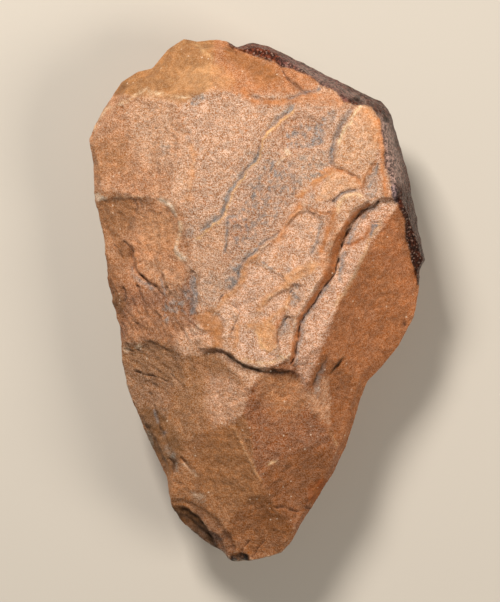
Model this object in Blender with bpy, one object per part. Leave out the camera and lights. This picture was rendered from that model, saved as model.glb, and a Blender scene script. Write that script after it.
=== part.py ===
"""A large stone hand axe, knapped from one quartzite cobble and lying on its back.

Metres, +Z up. The worked front face looks up, the butt points to +Y and the tip to -Y.
The outline, the cobble's dome and every scar are drawn at one set of sizes, DRAWN, with
heights counted from the working edge, and the driving sizes stretch that drawing.
"""

import math
from typing import NamedTuple

import bmesh
import bpy
from mathutils import Matrix, Vector

# Driving sizes in metres: butt to tip, across the shoulders, and ground to the highest plate.
LENGTH = 0.200
WIDTH = 0.1285
THICKNESS = 0.0525

# The same three sizes of the drawing below, in millimetres.
DRAWN = (128.5, 200.0, 52.5)

# Depth of the ground below the working edge, and of the cobble's front and back from it.
GROUND = 28.0
FRONT = 25.0
BACK = 28.7

# Middle of the cobble, about which its outline narrows towards the front and the back.
MIDDLE = (0.5, 11.0)

# Corners of the outline seen from above, clockwise from the left shoulder.
OUTLINE = (
    # Worked butt.
    (-64.4, 62.0), (-60.2, 70.5), (-55.5, 78.0), (-51.7, 83.6), (-45.8, 87.3), (-39.9, 88.8),
    (-34.0, 96.0), (-28.0, 100.0), (-22.7, 99.0), (-16.8, 99.7), (-12.5, 99.4), (-7.7, 97.0),
    # Side left with the cobble's own skin.
    (-1.5, 98.6), (4.1, 97.3), (12.7, 93.3), (27.7, 85.8), (39.5, 79.6), (47.6, 76.1),
    (51.3, 71.6), (53.4, 63.8), (57.2, 50.4), (60.9, 31.1), (64.3, 15.4), (62.0, 11.0),
    # Right edge down to the tip.
    (62.0, 5.2), (60.1, -6.1), (54.0, -17.4), (47.6, -25.4), (42.2, -30.8), (39.5, -37.7),
    (36.8, -47.5), (33.7, -56.2), (29.0, -66.1), (20.8, -79.2), (16.7, -85.4), (12.6, -93.0),
    (9.1, -96.5), (1.5, -99.4), (-4.0, -100.4), (-9.6, -100.1),
    # Left edge back up to the shoulder.
    (-13.4, -95.9), (-20.1, -93.6), (-29.5, -84.8), (-33.0, -78.8), (-34.3, -67.9),
    (-41.2, -53.2), (-49.2, -34.5), (-51.5, -23.0), (-52.4, -10.0), (-56.3, 5.0),
    (-58.7, 25.0), (-62.2, 40.0), (-62.5, 53.0),
)

# The cobble's dome: share of the outline that is left, and share of FRONT or BACK reached.
FRONT_DOME = ((0.985, 0.2), (0.96, 0.48), (0.93, 0.74), (0.9, 0.92), (0.875, 1.02), (0.75, 1.1))
BACK_DOME = ((0.985, 0.15), (0.95, 0.34), (0.89, 0.52), (0.79, 0.69), (0.64, 0.83), (0.46, 0.925),
             (0.28, 0.975), (0.12, 0.995))


class Flake(NamedTuple):
    """One flake scar: a shallow bowl, flat where its two radii are large.

    x, y, z: a point on the scar. heading: the way it falls, 0 to +X and 90 to +Y.
    dip: how steeply it leaves the level. along, across: radii of the bowl.
    """

    name: str
    x: float
    y: float
    z: float
    heading: float
    dip: float
    along: float
    across: float


# Scars of the front, from the butt down. Their z counts from the working edge.
FRONT_FLAKES = (
    Flake("bed", 5.0, 34.6, 21.5, 120, 2.5, 3000, 3000),
    Flake("butt_left", -37.1, 85.0, 7.5, 115, 34, 170, 200),
    Flake("butt_right", -9.6, 88.9, 11.5, 84, 29, 200, 200),
    Flake("butt_skin_side", 16.4, 82.4, 17.3, 72, 20, 250, 300),
    Flake("left_shoulder", -50.5, 57.5, 7.5, 176, 19, 150, 170),
    Flake("left_hollow", -37.1, 53.7, 14.3, 178, 15, 110, 160),
    Flake("left_slope", -21.8, 19.3, 17.8, 192, 9, 400, 300),
    Flake("waist_outer", -54.3, 27.7, 3.5, 200, 25, 120, 60),
    Flake("waist_inner", -40.9, 27.0, 9.4, 208, 25, 80, 60),
    Flake("left_rough", -40.9, 0.2, 8.5, 186, 25, 260, 200),
    Flake("left_small", -41.7, -23.5, 5.5, 205, 29, 120, 70),
    Flake("lower_left", -23.7, -40.0, 12.5, 195, 24, 160, 200),
    Flake("lower_dull", -16.1, -62.9, 9.0, 225, 29, 150, 150),
    Flake("lower_right", 12.6, -51.4, 12.6, 318, 23, 250, 180),
    Flake("right_facet", 44.0, -7.5, 9.6, 336, 36, 300, 320),
    Flake("right_low", 27.9, -38.0, 10.2, 335, 32, 200, 60),
    Flake("tip", -3.8, -87.0, 4.0, 278, 25, 150, 60),
    Flake("tip_left", -21.8, -88.5, -0.5, 235, 52, 60, 60),
)

# Scars of the back, the same way round but rising to the edge that they head for.
BACK_FLAKES = (
    Flake("back_tip", -3.0, -74.0, -12.5, 268, 25, 200, 130),
    Flake("back_near_tip", 15.0, -78.0, -7.5, 322, 35, 90, 50),
    Flake("back_low_right", 29.0, -52.0, -7.0, 336, 33, 130, 100),
    Flake("back_knee", 42.0, -28.0, -4.5, 320, 34, 90, 55),
    Flake("back_right", 52.0, -6.0, -5.5, 346, 37, 110, 90),
    Flake("back_low_left", -35.0, -55.0, -5.5, 203, 33, 120, 110),
    Flake("back_left", -47.0, -10.0, -6.5, 184, 32, 120, 120),
    Flake("back_waist", -54.0, 24.0, -5.0, 178, 36, 80, 60),
    Flake("back_shoulder", -54.0, 56.0, -6.0, 166, 35, 110, 110),
    Flake("back_butt", -38.0, 85.0, -6.0, 124, 36, 90, 100),
    Flake("back_butt_mid", -16.0, 91.0, -6.5, 95, 38, 80, 70),
)

# Beds of the stone that broke off in steps: depth below the bed and corners of the floor.
STEPS = (
    # Strip along the foot of the raised plates, open to the right facet.
    (3.0, ((49.5, 37.5), (43.5, 35.5), (37.0, 31.0), (33.5, 24.5), (31.0, 18.0), (30.2, 12.0), (25.5, 6.0),
           (20.5, -3.0), (16.5, -8.0), (14.8, -17.0), (13.2, -22.5), (13.2, -40.0), (70.0, -40.0), (70.0, 37.5))),
    # Lower bed to the left of the plates.
    (1.4, ((36.5, 77.0), (33.5, 66.0), (30.0, 58.5), (28.5, 49.0), (19.0, 34.0), (9.5, 26.5), (3.5, 20.5),
           (-4.5, 16.0), (-8.5, 7.5), (-14.5, 1.5), (-20.5, -3.5), (-60.0, -3.5), (-60.0, 95.0), (20.0, 95.0))),
    # Third bed, left of the long crack-like ledge.
    (2.4, ((14.0, 76.5), (8.5, 69.5), (2.0, 64.0), (0.0, 54.0), (-5.5, 48.0), (-11.5, 38.0), (-13.0, 31.0),
           (-21.5, 23.5), (-27.5, 21.0), (-60.0, 21.0), (-60.0, 95.0), (-4.0, 95.0))),
)

# A cutter's mesh size, its greatest half width and its height.
CELL = 6.0
REACH = 126.0
TALL = 90.0


def new_object(name: str, mesh_builder: bmesh.types.BMesh, collection: bpy.types.Collection):
    """Turns a drawn bmesh into an object of the driving sizes, with faces outward."""
    bmesh.ops.translate(mesh_builder, vec=(0.0, 0.0, GROUND), verts=mesh_builder.verts)
    stretch = (WIDTH / DRAWN[0], LENGTH / DRAWN[1], THICKNESS / DRAWN[2])
    bmesh.ops.scale(mesh_builder, vec=stretch, verts=mesh_builder.verts)
    bmesh.ops.recalc_face_normals(mesh_builder, faces=mesh_builder.faces)
    mesh = bpy.data.meshes.new(name)
    mesh_builder.to_mesh(mesh)
    mesh_builder.free()
    made = bpy.data.objects.new(name, mesh)
    collection.objects.link(made)
    return made


def cobble(collection: bpy.types.Collection):
    """The unworked cobble: the outline narrowed ring by ring to the front and to the back."""
    bm = bmesh.new()
    bmesh.ops.create_circle(bm, segments=len(OUTLINE), radius=1.0)
    bm.verts.ensure_lookup_table()
    for vert, corner in zip(bm.verts, OUTLINE):
        vert.co = Vector((corner[0], corner[1], 0.0))
    rim = list(bm.edges)
    for dome, rise in ((FRONT_DOME, FRONT), (BACK_DOME, -BACK)):
        ring = rim
        left = 1.0
        for share, reached in dome:
            grown = bmesh.ops.extrude_edge_only(bm, edges=ring)["geom"]
            ring = [item for item in grown if isinstance(item, bmesh.types.BMEdge)]
            verts = [item for item in grown if isinstance(item, bmesh.types.BMVert)]
            for vert in verts:
                vert.co.x = MIDDLE[0] + (vert.co.x - MIDDLE[0]) * share / left
                vert.co.y = MIDDLE[1] + (vert.co.y - MIDDLE[1]) * share / left
                vert.co.z = rise * reached
            left = share
        bmesh.ops.contextual_create(bm, geom=ring)
    bmesh.ops.triangulate(bm, faces=[face for face in bm.faces if len(face.verts) > 4])
    return new_object("hand_axe", bm, collection)


def flake_cutter(flake: Flake, front: bool, collection: bpy.types.Collection):
    """A block whose lower side is the bowl of one scar; for the back it is turned over."""
    bm = bmesh.new()
    reach = min(REACH, math.sqrt(1.7 * TALL / (1 / flake.along + 1 / flake.across)))
    cells = round(2 * reach / CELL)
    bmesh.ops.create_grid(bm, x_segments=cells, y_segments=cells, size=reach)
    for vert in bm.verts:
        vert.co.z = vert.co.x ** 2 / (2 * flake.along) + vert.co.y ** 2 / (2 * flake.across)
    lid = bmesh.ops.extrude_face_region(bm, geom=list(bm.faces))["geom"]
    for item in lid:
        if isinstance(item, bmesh.types.BMVert):
            item.co.z = TALL
    place = Matrix.Translation((flake.x, flake.y, flake.z))
    place = place @ Matrix.Rotation(math.radians(flake.heading), 4, "Z")
    if not front:
        place = place @ Matrix.Scale(-1, 4, Vector((0, 0, 1)))
    place = place @ Matrix.Rotation(math.radians(flake.dip), 4, "Y")
    bmesh.ops.transform(bm, matrix=place, verts=bm.verts)
    return new_object("cut_" + flake.name, bm, collection)


def step_cutter(number: int, depth: float, corners, collection: bpy.types.Collection):
    """A block standing on a floor that lies parallel to the bed, some way below it."""
    bed = FRONT_FLAKES[0]
    bm = bmesh.new()
    floor = [bm.verts.new((x, y, 0.0)) for x, y in corners]
    bmesh.ops.contextual_create(bm, geom=floor)
    lid = bmesh.ops.extrude_face_region(bm, geom=list(bm.faces))["geom"]
    for item in lid:
        if isinstance(item, bmesh.types.BMVert):
            item.co.z = TALL
    slope = math.tan(math.radians(bed.dip))
    fall = Vector((math.cos(math.radians(bed.heading)), math.sin(math.radians(bed.heading))))
    for vert in bm.verts:
        away = fall.dot(Vector((vert.co.x - bed.x, vert.co.y - bed.y)))
        vert.co.z += bed.z - depth - slope * away
    bmesh.ops.triangulate(bm, faces=[face for face in bm.faces if len(face.verts) > 4])
    return new_object(f"cut_step_{number}", bm, collection)


def ground_cutter(collection: bpy.types.Collection):
    """A block below the ground, which leaves the small worn flat that the stone lies on."""
    bm = bmesh.new()
    bmesh.ops.create_cube(bm, size=400.0)
    bmesh.ops.translate(bm, vec=(0.0, 0.0, -200.0 - GROUND), verts=bm.verts)
    return new_object("cut_ground", bm, collection)


def cut(stone: bpy.types.Object, cutter: bpy.types.Object):
    """Takes the cutter out of the stone and keeps the cutter as a hidden wire."""
    cutter.hide_render = True
    cutter.display_type = "WIRE"
    knock_off = stone.modifiers.new(cutter.name, "BOOLEAN")
    knock_off.operation = "DIFFERENCE"
    knock_off.solver = "EXACT"
    knock_off.object = cutter


def quartzite():
    """Ochre quartzite with a dull, slightly waxy old surface."""
    stone = bpy.data.materials.new("ochre quartzite")
    stone.use_nodes = True
    shader = stone.node_tree.nodes["Principled BSDF"]
    shader.inputs["Base Color"].default_value = (0.38, 0.19, 0.075, 1.0)
    shader.inputs["Roughness"].default_value = 0.6
    return stone


def main():
    """Clears the scene, shapes the cobble and knocks off every flake."""
    for old in list(bpy.data.objects):
        bpy.data.objects.remove(old)
    axe = bpy.data.collections.new("hand_axe")
    cutters = bpy.data.collections.new("cutters")
    bpy.context.scene.collection.children.link(axe)
    bpy.context.scene.collection.children.link(cutters)
    stone = cobble(axe)
    stone.data.materials.append(quartzite())
    for flake in FRONT_FLAKES:
        cut(stone, flake_cutter(flake, True, cutters))
    for number, (depth, corners) in enumerate(STEPS, 1):
        cut(stone, step_cutter(number, depth, corners, cutters))
    for flake in BACK_FLAKES:
        cut(stone, flake_cutter(flake, False, cutters))
    cut(stone, ground_cutter(cutters))


main()
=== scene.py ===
"""A large stone hand axe of ochre quartzite, lying on its back on a pale floor.

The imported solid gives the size, the outline and the flake scars. This script gives the stone
its fine form and its finish: stepped beds, cracks, worn ridges, grain, patina and natural skin.
Places on the front face are read off the 500 x 602 frame in pixels; all lengths are millimetres
until a mesh is written in metres.
"""

from __future__ import annotations

import logging
import math
from dataclasses import dataclass, field
from itertools import product

import bmesh
import bpy
import numpy as np
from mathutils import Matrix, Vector

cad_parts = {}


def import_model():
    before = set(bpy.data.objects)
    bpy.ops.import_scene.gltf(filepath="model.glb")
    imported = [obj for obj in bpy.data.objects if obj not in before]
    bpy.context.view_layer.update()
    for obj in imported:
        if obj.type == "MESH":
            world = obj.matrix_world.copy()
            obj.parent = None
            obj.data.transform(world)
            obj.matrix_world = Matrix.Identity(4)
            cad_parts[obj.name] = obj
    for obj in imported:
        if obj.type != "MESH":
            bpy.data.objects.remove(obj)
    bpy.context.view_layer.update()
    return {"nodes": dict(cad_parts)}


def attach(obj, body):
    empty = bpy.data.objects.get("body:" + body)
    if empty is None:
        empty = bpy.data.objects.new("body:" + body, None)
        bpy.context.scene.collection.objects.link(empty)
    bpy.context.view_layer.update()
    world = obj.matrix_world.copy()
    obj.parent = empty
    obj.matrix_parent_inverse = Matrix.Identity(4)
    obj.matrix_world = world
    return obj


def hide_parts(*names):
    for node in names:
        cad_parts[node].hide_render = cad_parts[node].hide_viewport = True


LOG = logging.getLogger("hand_axe")

MM = 0.001
# Height of the stone's edge above the floor.
GROUND = 28.0
# The stone is 200 mm long and 523 pixels high. The pixel is the one over x = 0 and y = 0.
MM_PER_PIXEL = 0.3823
MIDDLE_PIXEL = (257.0, 300.5)
# Width of a mesh cell before the steps are cut and before the surface is broken up.
FIRST_CELL = 0.5
FINE_CELL = 0.45
# The piece has to stay under 200,000 triangles. The back is plain and gives up most of its own.
MOST_TRIANGLES = 196000
BACK_GIVES_UP = 0.92


def seen(*pixels: tuple[float, ...]) -> np.ndarray:
    """Turns places in the frame into millimetres across the stone.

    Args:
        pixels: places as (right, down) pixels of the 500 x 602 frame; further numbers are left out.

    Returns:
        One row of x and y for each place.
    """
    spots = np.array([pixel[:2] for pixel in pixels], dtype=float)
    across = (spots[:, 0] - MIDDLE_PIXEL[0]) * MM_PER_PIXEL
    along = (MIDDLE_PIXEL[1] - spots[:, 1]) * MM_PER_PIXEL
    return np.column_stack((across, along))


def linear(colour: str) -> tuple[float, float, float]:
    """Turns an sRGB hex colour into linear light.

    Args:
        colour: six hex digits, such as "c8925f".

    Returns:
        Red, green and blue, each from 0 to 1.
    """
    shares = (int(colour[i:i + 2], 16) / 255 for i in (0, 2, 4))
    return tuple(s / 12.92 if s <= 0.04045 else ((s + 0.055) / 1.055) ** 2.4 for s in shares)


def eased(value: np.ndarray, low: float, high: float) -> np.ndarray:
    """Goes smoothly from 0 at low to 1 at high."""
    t = np.clip((value - low) / (high - low), 0.0, 1.0)
    return t * t * (3 - 2 * t)


def hashed(cells: np.ndarray, seed: int) -> np.ndarray:
    """A steady 32-bit number for every whole-numbered cell.

    Args:
        cells: whole numbers, three in the last axis.
        seed: picks another set of values.

    Returns:
        One number for each cell.
    """
    c = cells.astype(np.uint32)
    n = c[..., 0] * np.uint32(374761393) + c[..., 1] * np.uint32(668265263)
    n = n + c[..., 2] * np.uint32(2246822519) + np.uint32((seed * 3266489917) & 0xFFFFFFFF)
    n = (n ^ (n >> np.uint32(15))) * np.uint32(2654435761)
    n = (n ^ (n >> np.uint32(13))) * np.uint32(1274126177)
    return n ^ (n >> np.uint32(16))


def scattered(cells: np.ndarray, seed: int) -> np.ndarray:
    """A steady value from 0 to 1 for every whole-numbered cell."""
    return hashed(cells, seed).astype(float) / 0xFFFFFFFF


def rumble(points: np.ndarray, size: float, seed: int = 0) -> np.ndarray:
    """Smooth noise from about -1 to 1 whose bumps are about size across.

    Args:
        points: places in millimetres, three in the last axis.
        size: width of a bump in millimetres.
        seed: picks another pattern.

    Returns:
        One value for each place.
    """
    p = points / size + 1000.0
    base = np.floor(p).astype(np.int64)
    inside = p - base
    ease = inside * inside * inside * (inside * (inside * 6 - 15) + 10)
    flat = not inside[:, 2].any()
    total = np.zeros(len(p))
    for corner in product((0, 1), (0, 1), (0,) if flat else (0, 1)):
        code = hashed(base + np.array(corner), seed)
        lean = np.zeros(len(p))
        for axis in range(3):
            way = (code >> np.uint32(10 * axis) & np.uint32(1023)) / 511.5 - 1
            lean += way * (inside[:, axis] - corner[axis])
        for axis in range(3):
            lean *= ease[:, axis] if corner[axis] else 1 - ease[:, axis]
        total += lean
    return total * 1.7


def chipped(points: np.ndarray, size: float, seed: int = 0) -> np.ndarray:
    """Broken ground made of small tilted facets, from about -1 to 1.

    Args:
        points: places in millimetres, three in the last axis.
        size: width of a facet in millimetres.
        seed: picks another pattern.

    Returns:
        One height for each place.
    """
    p = points / size + 1000.0
    base = np.floor(p[:, :2]).astype(np.int64)
    nearest = np.full(len(p), 1e9)
    height = np.zeros(len(p))
    for step in product((-1, 0, 1), repeat=2):
        cell = np.column_stack((base + np.array(step), np.zeros(len(p), dtype=np.int64)))
        jitter = np.column_stack([scattered(cell, seed + k) for k in (1, 2)])
        away = p[:, :2] - cell[:, :2] - jitter
        reach = (away ** 2).sum(axis=1)
        lean = [scattered(cell, seed + k) * 2 - 1 for k in (3, 4, 5)]
        here = 0.8 * (lean[0] * away[:, 0] + lean[1] * away[:, 1]) + 0.5 * lean[2]
        closer = reach < nearest
        nearest[closer] = reach[closer]
        height[closer] = here[closer]
    return height


def within(points: np.ndarray, corners: np.ndarray) -> np.ndarray:
    """Tells which points lie inside a closed outline.

    Args:
        points: x and y of each point.
        corners: x and y of each corner of the outline.

    Returns:
        True for each point inside.
    """
    inside = np.zeros(len(points), dtype=bool)
    x, y = points.T
    for (x0, y0), (x1, y1) in zip(corners, np.roll(corners, -1, axis=0)):
        crosses = (y0 > y) != (y1 > y)
        at = x0 + (y - y0) * (x1 - x0) / ((y1 - y0) or 1e-9)
        inside ^= crosses & (x < at)
    return inside


def close_by(spots: np.ndarray, corners: np.ndarray, margin: float) -> np.ndarray:
    """Tells which spots lie within a margin of the box round some corners."""
    low, high = corners.min(axis=0) - margin, corners.max(axis=0) + margin
    return np.all((spots > low) & (spots < high), axis=1)


def walked(line: np.ndarray, spots: np.ndarray) -> tuple[np.ndarray, np.ndarray, np.ndarray, float]:
    """Finds how each spot lies beside a line.

    Args:
        line: x and y of each corner of the line.
        spots: x and y of each spot.

    Returns:
        How far each spot is from the line, how far along it, and its side, 1 on the left as one
        walks and -1 on the right; then the length of the line.
    """
    gap = np.full(len(spots), 1e9)
    run = np.zeros(len(spots))
    side = np.zeros(len(spots))
    behind = 0.0
    for a, b in zip(line[:-1], line[1:]):
        way = b - a
        length = max(math.hypot(*way), 1e-6)
        along = np.clip(((spots - a) @ way) / length ** 2, 0.0, 1.0)
        away = spots - a - along[:, None] * way
        off = np.hypot(*away.T)
        closer = off < gap
        run = np.where(closer, behind + along * length, run)
        side = np.where(closer, np.sign(way[0] * away[:, 1] - way[1] * away[:, 0]), side)
        gap = np.minimum(gap, off)
        behind += length
    return gap, run, side, behind


@dataclass(frozen=True)
class Patch:
    """An area of the front face with an edge as crisp or as soft as each corner says.

    corners: (right pixel, down pixel, width of the edge in mm) round the area.
    """

    corners: tuple[tuple[float, float, float], ...]

    def share(self, spots: np.ndarray) -> np.ndarray:
        """How much of each spot the area holds.

        Args:
            spots: x and y of each spot.

        Returns:
            0 outside, 1 inside, and between them across the edge.
        """
        outline = seen(*self.corners)
        widths = np.array([corner[2] for corner in self.corners])
        held = np.zeros(len(spots))
        near = close_by(spots, outline, widths.max() / 2)
        if not near.any():
            return held
        here = spots[near]
        ratio = np.full(len(here), 1e9)
        for a, b, wide_a, wide_b in zip(outline, np.roll(outline, -1, axis=0), widths, np.roll(widths, -1)):
            way = b - a
            along = np.clip(((here - a) @ way) / max(way @ way, 1e-9), 0.0, 1.0)
            gap = np.hypot(*(here - a - along[:, None] * way).T)
            ratio = np.minimum(ratio, gap / (wide_a + (wide_b - wide_a) * along))
        held[near] = eased(np.where(within(here, outline), ratio, -ratio), -0.5, 0.5)
        return held


@dataclass(frozen=True)
class Trace:
    """A line along the face, such as a crack, a lip or a seam of colour.

    width: half width in mm. places: (right pixel, down pixel) along it.
    """

    width: float
    places: tuple[tuple[float, float], ...]

    def share(self, spots: np.ndarray) -> np.ndarray:
        """How strongly each spot lies on the line.

        Args:
            spots: x and y of each spot.

        Returns:
            1 on the line, fading to 0 at twice its half width and at its two ends.
        """
        line = seen(*self.places)
        held = np.zeros(len(spots))
        near = close_by(spots, line, 2.2 * self.width)
        if not near.any():
            return held
        gap, run, _, length = walked(line, spots[near])
        taper = eased(np.minimum(run, length - run), -0.3 * self.width, 2.0 * self.width)
        held[near] = np.exp(-((gap / self.width) ** 2)) * taper
        return held


@dataclass(frozen=True)
class Ledge:
    """A small step: the ground left of the line stands up and sinks back away from it.

    crisp: width of the step itself in mm. fall: how far the raised side takes to sink back.
    places: (right pixel, down pixel) along it, with the high side on the left as one walks.
    """

    crisp: float
    fall: float
    places: tuple[tuple[float, float], ...]

    def share(self, spots: np.ndarray) -> np.ndarray:
        """How far each spot is raised.

        Args:
            spots: x and y of each spot.

        Returns:
            1 at the top of the step, fading away from it and at its two ends.
        """
        line = seen(*self.places)
        held = np.zeros(len(spots))
        near = close_by(spots, line, 3.5 * self.fall)
        if not near.any():
            return held
        gap, run, side, length = walked(line, spots[near])
        taper = eased(np.minimum(run, length - run), -0.1, 0.3 * length)
        off = gap * side
        raised = eased(off, -self.crisp / 2, self.crisp / 2) * np.exp(-np.maximum(off, 0) / self.fall)
        held[near] = raised * taper
        return held


@dataclass(frozen=True)
class Relief:
    """Something that stands proud of the face by rise, or lies below it where rise is negative."""

    name: str
    rise: float
    where: Patch | Trace | Ledge

    def lift(self, spots: np.ndarray) -> np.ndarray:
        """Height added at each spot."""
        return self.rise * self.where.share(spots)


@dataclass(frozen=True)
class Coat:
    """A colour laid over an area or along a line.

    strength: how much of the old colour it hides. speckle: how coarse the grain shows in it.
    mottle: how far it is broken into flecks, from 0 for an even coat to 1.
    """

    name: str
    colour: str
    strength: float
    speckle: float
    where: Patch | Trace
    mottle: float = 0.0


@dataclass(frozen=True)
class Scar:
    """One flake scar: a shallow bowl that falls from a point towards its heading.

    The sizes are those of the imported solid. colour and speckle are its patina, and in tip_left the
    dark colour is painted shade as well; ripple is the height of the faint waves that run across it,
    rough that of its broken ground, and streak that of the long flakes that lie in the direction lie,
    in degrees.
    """

    name: str
    x: float
    y: float
    z: float
    heading: float
    dip: float
    along: float
    across: float
    colour: str
    speckle: float
    ripple: float = 0.06
    rough: float = 0.10
    streak: float = 0.0
    lie: float = 0.0

    def local(self, spots: np.ndarray) -> tuple[np.ndarray, np.ndarray]:
        """Distance of each spot down the scar's fall, and across it."""
        turn = math.radians(self.heading)
        dx, dy = spots[:, 0] - self.x, spots[:, 1] - self.y
        return dx * math.cos(turn) + dy * math.sin(turn), dy * math.cos(turn) - dx * math.sin(turn)

    def height(self, spots: np.ndarray, front: bool) -> np.ndarray:
        """Height of the scar's surface above the ground.

        Args:
            spots: x and y of each spot.
            front: True for a scar that opens upwards, False for one of the back.

        Returns:
            The height at each spot.
        """
        down, sideways = self.local(spots)
        tilt = math.radians(self.dip)
        lift = sideways ** 2 / (2 * self.across)
        curve = math.sin(tilt) / (2 * self.along)
        root = math.cos(tilt) ** 2 - 4 * curve * (lift * math.sin(tilt) - down)
        slid = (np.sqrt(np.maximum(root, 0.0)) - math.cos(tilt)) / (2 * curve)
        bowl = slid ** 2 / (2 * self.along) + lift
        rise = -slid * math.sin(tilt) + bowl * math.cos(tilt)
        return GROUND + self.z + (rise if front else -rise)

    def waves(self, spots: np.ndarray, stray: np.ndarray) -> np.ndarray:
        """Faint rings that spread from the blow, which fell beyond the scar's lower end.

        Args:
            spots: x and y of each spot.
            stray: how far each spot's ring strays from a true one, in rings.

        Returns:
            The height that they add at each spot.
        """
        down, sideways = self.local(spots)
        ring = np.hypot(58.0 - down, sideways) / 6.3
        return self.ripple * np.sin(2 * math.pi * (ring + stray))

    def streaks(self, spots: np.ndarray) -> np.ndarray:
        """Long flakes side by side, about four times as long as they are wide.

        Args:
            spots: x and y of each spot.

        Returns:
            The height that they add at each spot.
        """
        if not self.streak:
            return np.zeros(len(spots))
        turn = math.radians(self.lie)
        long_way = spots[:, 0] * math.cos(turn) + spots[:, 1] * math.sin(turn)
        short_way = spots[:, 1] * math.cos(turn) - spots[:, 0] * math.sin(turn)
        drawn = np.column_stack((long_way / 4, short_way, np.zeros(len(spots))))
        bent = drawn + 0.5 * rumble(drawn, 4.0, 61)[:, None]
        ridges = 0.7 - np.abs(rumble(bent, 2.9, 62)) * 2 + 0.7 * rumble(bent, 1.3, 63)
        return self.streak * ridges


# Bowls of the front face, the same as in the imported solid. The first is the high bed.
BED = Scar("bed", 5.0, 34.6, 21.5, 120, 2.5, 3000, 3000, "d0a37d", 0.85, 0.0, 0.15, 0.08, 62)
FRONT_SCARS = (
    Scar("butt_left", -37.1, 85.0, 7.5, 115, 34, 170, 200, "aa7a48", 0.3, 0.05, 0.06),
    Scar("butt_right", -9.6, 88.9, 11.5, 84, 29, 200, 200, "b97a42", 0.5, 0.05, 0.20),
    Scar("butt_skin_side", 16.4, 82.4, 17.3, 72, 20, 250, 300, "cc986c", 0.7, 0.05, 0.22),
    Scar("left_shoulder", -50.5, 57.5, 7.5, 176, 19, 150, 170, "bf8a5c", 0.6, 0.08, 0.13),
    Scar("left_hollow", -37.1, 53.7, 14.3, 178, 15, 110, 160, "d8ae8c", 0.7, 0.06, 0.12),
    Scar("left_slope", -21.8, 19.3, 17.8, 192, 9, 400, 300, "c69a75", 0.7, 0.05, 0.20),
    Scar("waist_outer", -54.3, 27.7, 3.5, 200, 25, 120, 60, "aa7749", 0.5, 0.05, 0.16, 0.22, 105),
    Scar("waist_inner", -40.9, 27.0, 9.4, 208, 25, 80, 60, "bf885a", 0.5, 0.05, 0.20),
    Scar("left_rough", -40.9, 0.2, 8.5, 186, 25, 260, 200, "925f36", 0.5, 0.03, 0.28, 0.42, 118),
    Scar("left_small", -41.7, -23.5, 5.5, 205, 29, 120, 70, "93673b", 0.5, 0.05, 0.20, 0.25, 150),
    Scar("lower_left", -23.7, -40.0, 12.5, 195, 24, 160, 200, "9d6d3c", 0.45, 0.08, 0.10),
    Scar("lower_dull", -13.6, -55.0, 13.0, 233, 26, 130, 150, "a4703f", 0.4, 0.06, 0.12),
    Scar("lower_right", 12.6, -51.4, 12.6, 318, 23, 250, 180, "955714", 0.5, 0.10, 0.12, 0.16, 34),
    Scar("right_facet", 44.0, -7.5, 9.6, 336, 36, 300, 320, "ad6a2e", 0.42, 0.04, 0.06),
    Scar("right_low", 27.9, -38.0, 10.2, 335, 32, 200, 60, "9d5f25", 0.4, 0.05, 0.12),
    Scar("tip", -3.8, -87.0, 4.0, 278, 25, 150, 60, "9c632b", 0.4, 0.05, 0.16),
    # tip_left's dark colour is painted shade: this scar faces down and away from the key light.
    Scar("tip_left", -21.8, -88.5, -0.5, 235, 52, 60, 60, "5e3f2a", 0.5, 0.03, 0.16),
)

# Bowls of the back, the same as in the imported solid.
BACK_SCARS = (
    Scar("back_tip", -3, -74, -12.5, 268, 25, 200, 130, "8a5c3a", 0.5, 0.08, 0.10),
    Scar("back_near_tip", 15, -78, -7.5, 322, 35, 90, 50, "825535", 0.5, 0.05, 0.10),
    Scar("back_low_right", 29, -52, -7, 336, 33, 130, 100, "99643c", 0.5, 0.08, 0.10),
    Scar("back_knee", 42, -28, -4.5, 320, 34, 90, 55, "a06a40", 0.5, 0.06, 0.10),
    Scar("back_right", 52, -6, -5.5, 346, 37, 110, 90, "a36d44", 0.5, 0.08, 0.10),
    Scar("back_low_left", -35, -55, -5.5, 203, 33, 120, 110, "a8744a", 0.5, 0.08, 0.10),
    Scar("back_left", -47, -10, -6.5, 184, 32, 120, 120, "9c6b46", 0.5, 0.08, 0.12),
    Scar("back_waist", -54, 24, -5, 178, 36, 80, 60, "a06e48", 0.5, 0.05, 0.12),
    Scar("back_shoulder", -54, 56, -6, 166, 35, 110, 110, "b07e56", 0.5, 0.08, 0.10),
    Scar("back_butt", -38, 85, -6, 124, 36, 90, 100, "b5835a", 0.5, 0.08, 0.10),
    Scar("back_butt_mid", -16, 91, -6.5, 95, 38, 80, 70, "b5835a", 0.5, 0.05, 0.10),
)

# Where the cobble's own skin is left: everything right of this line on the upper right side.
SKIN_PATCH = Patch((
    (228, 46, 1.2), (234, 48, 1.2), (246, 54, 1), (260, 60, 1), (274, 64, 1), (281, 70, 1),
    (290, 71, 1), (300, 74, 1), (310, 79, 1), (318, 87, 1), (328, 90, 1), (334, 93, 1),
    (338, 98, 1), (342, 103, 1), (350, 105, 1), (353, 108, 1), (365, 107, 1), (370, 108, 1),
    (374, 113, 1), (378, 121, 1), (380, 128, 1), (381, 145, 1), (382, 158, 1), (385, 175, 1),
    (388, 187, 1), (390, 203, 1), (395, 206, 1), (399, 212, 1), (402, 220, 1), (405, 243, 1),
    (410, 258, 1), (414, 270, 1), (418, 286, 1.2), (440, 290, 1.2), (440, 20, 1.2), (228, 20, 1.2),
))

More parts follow.
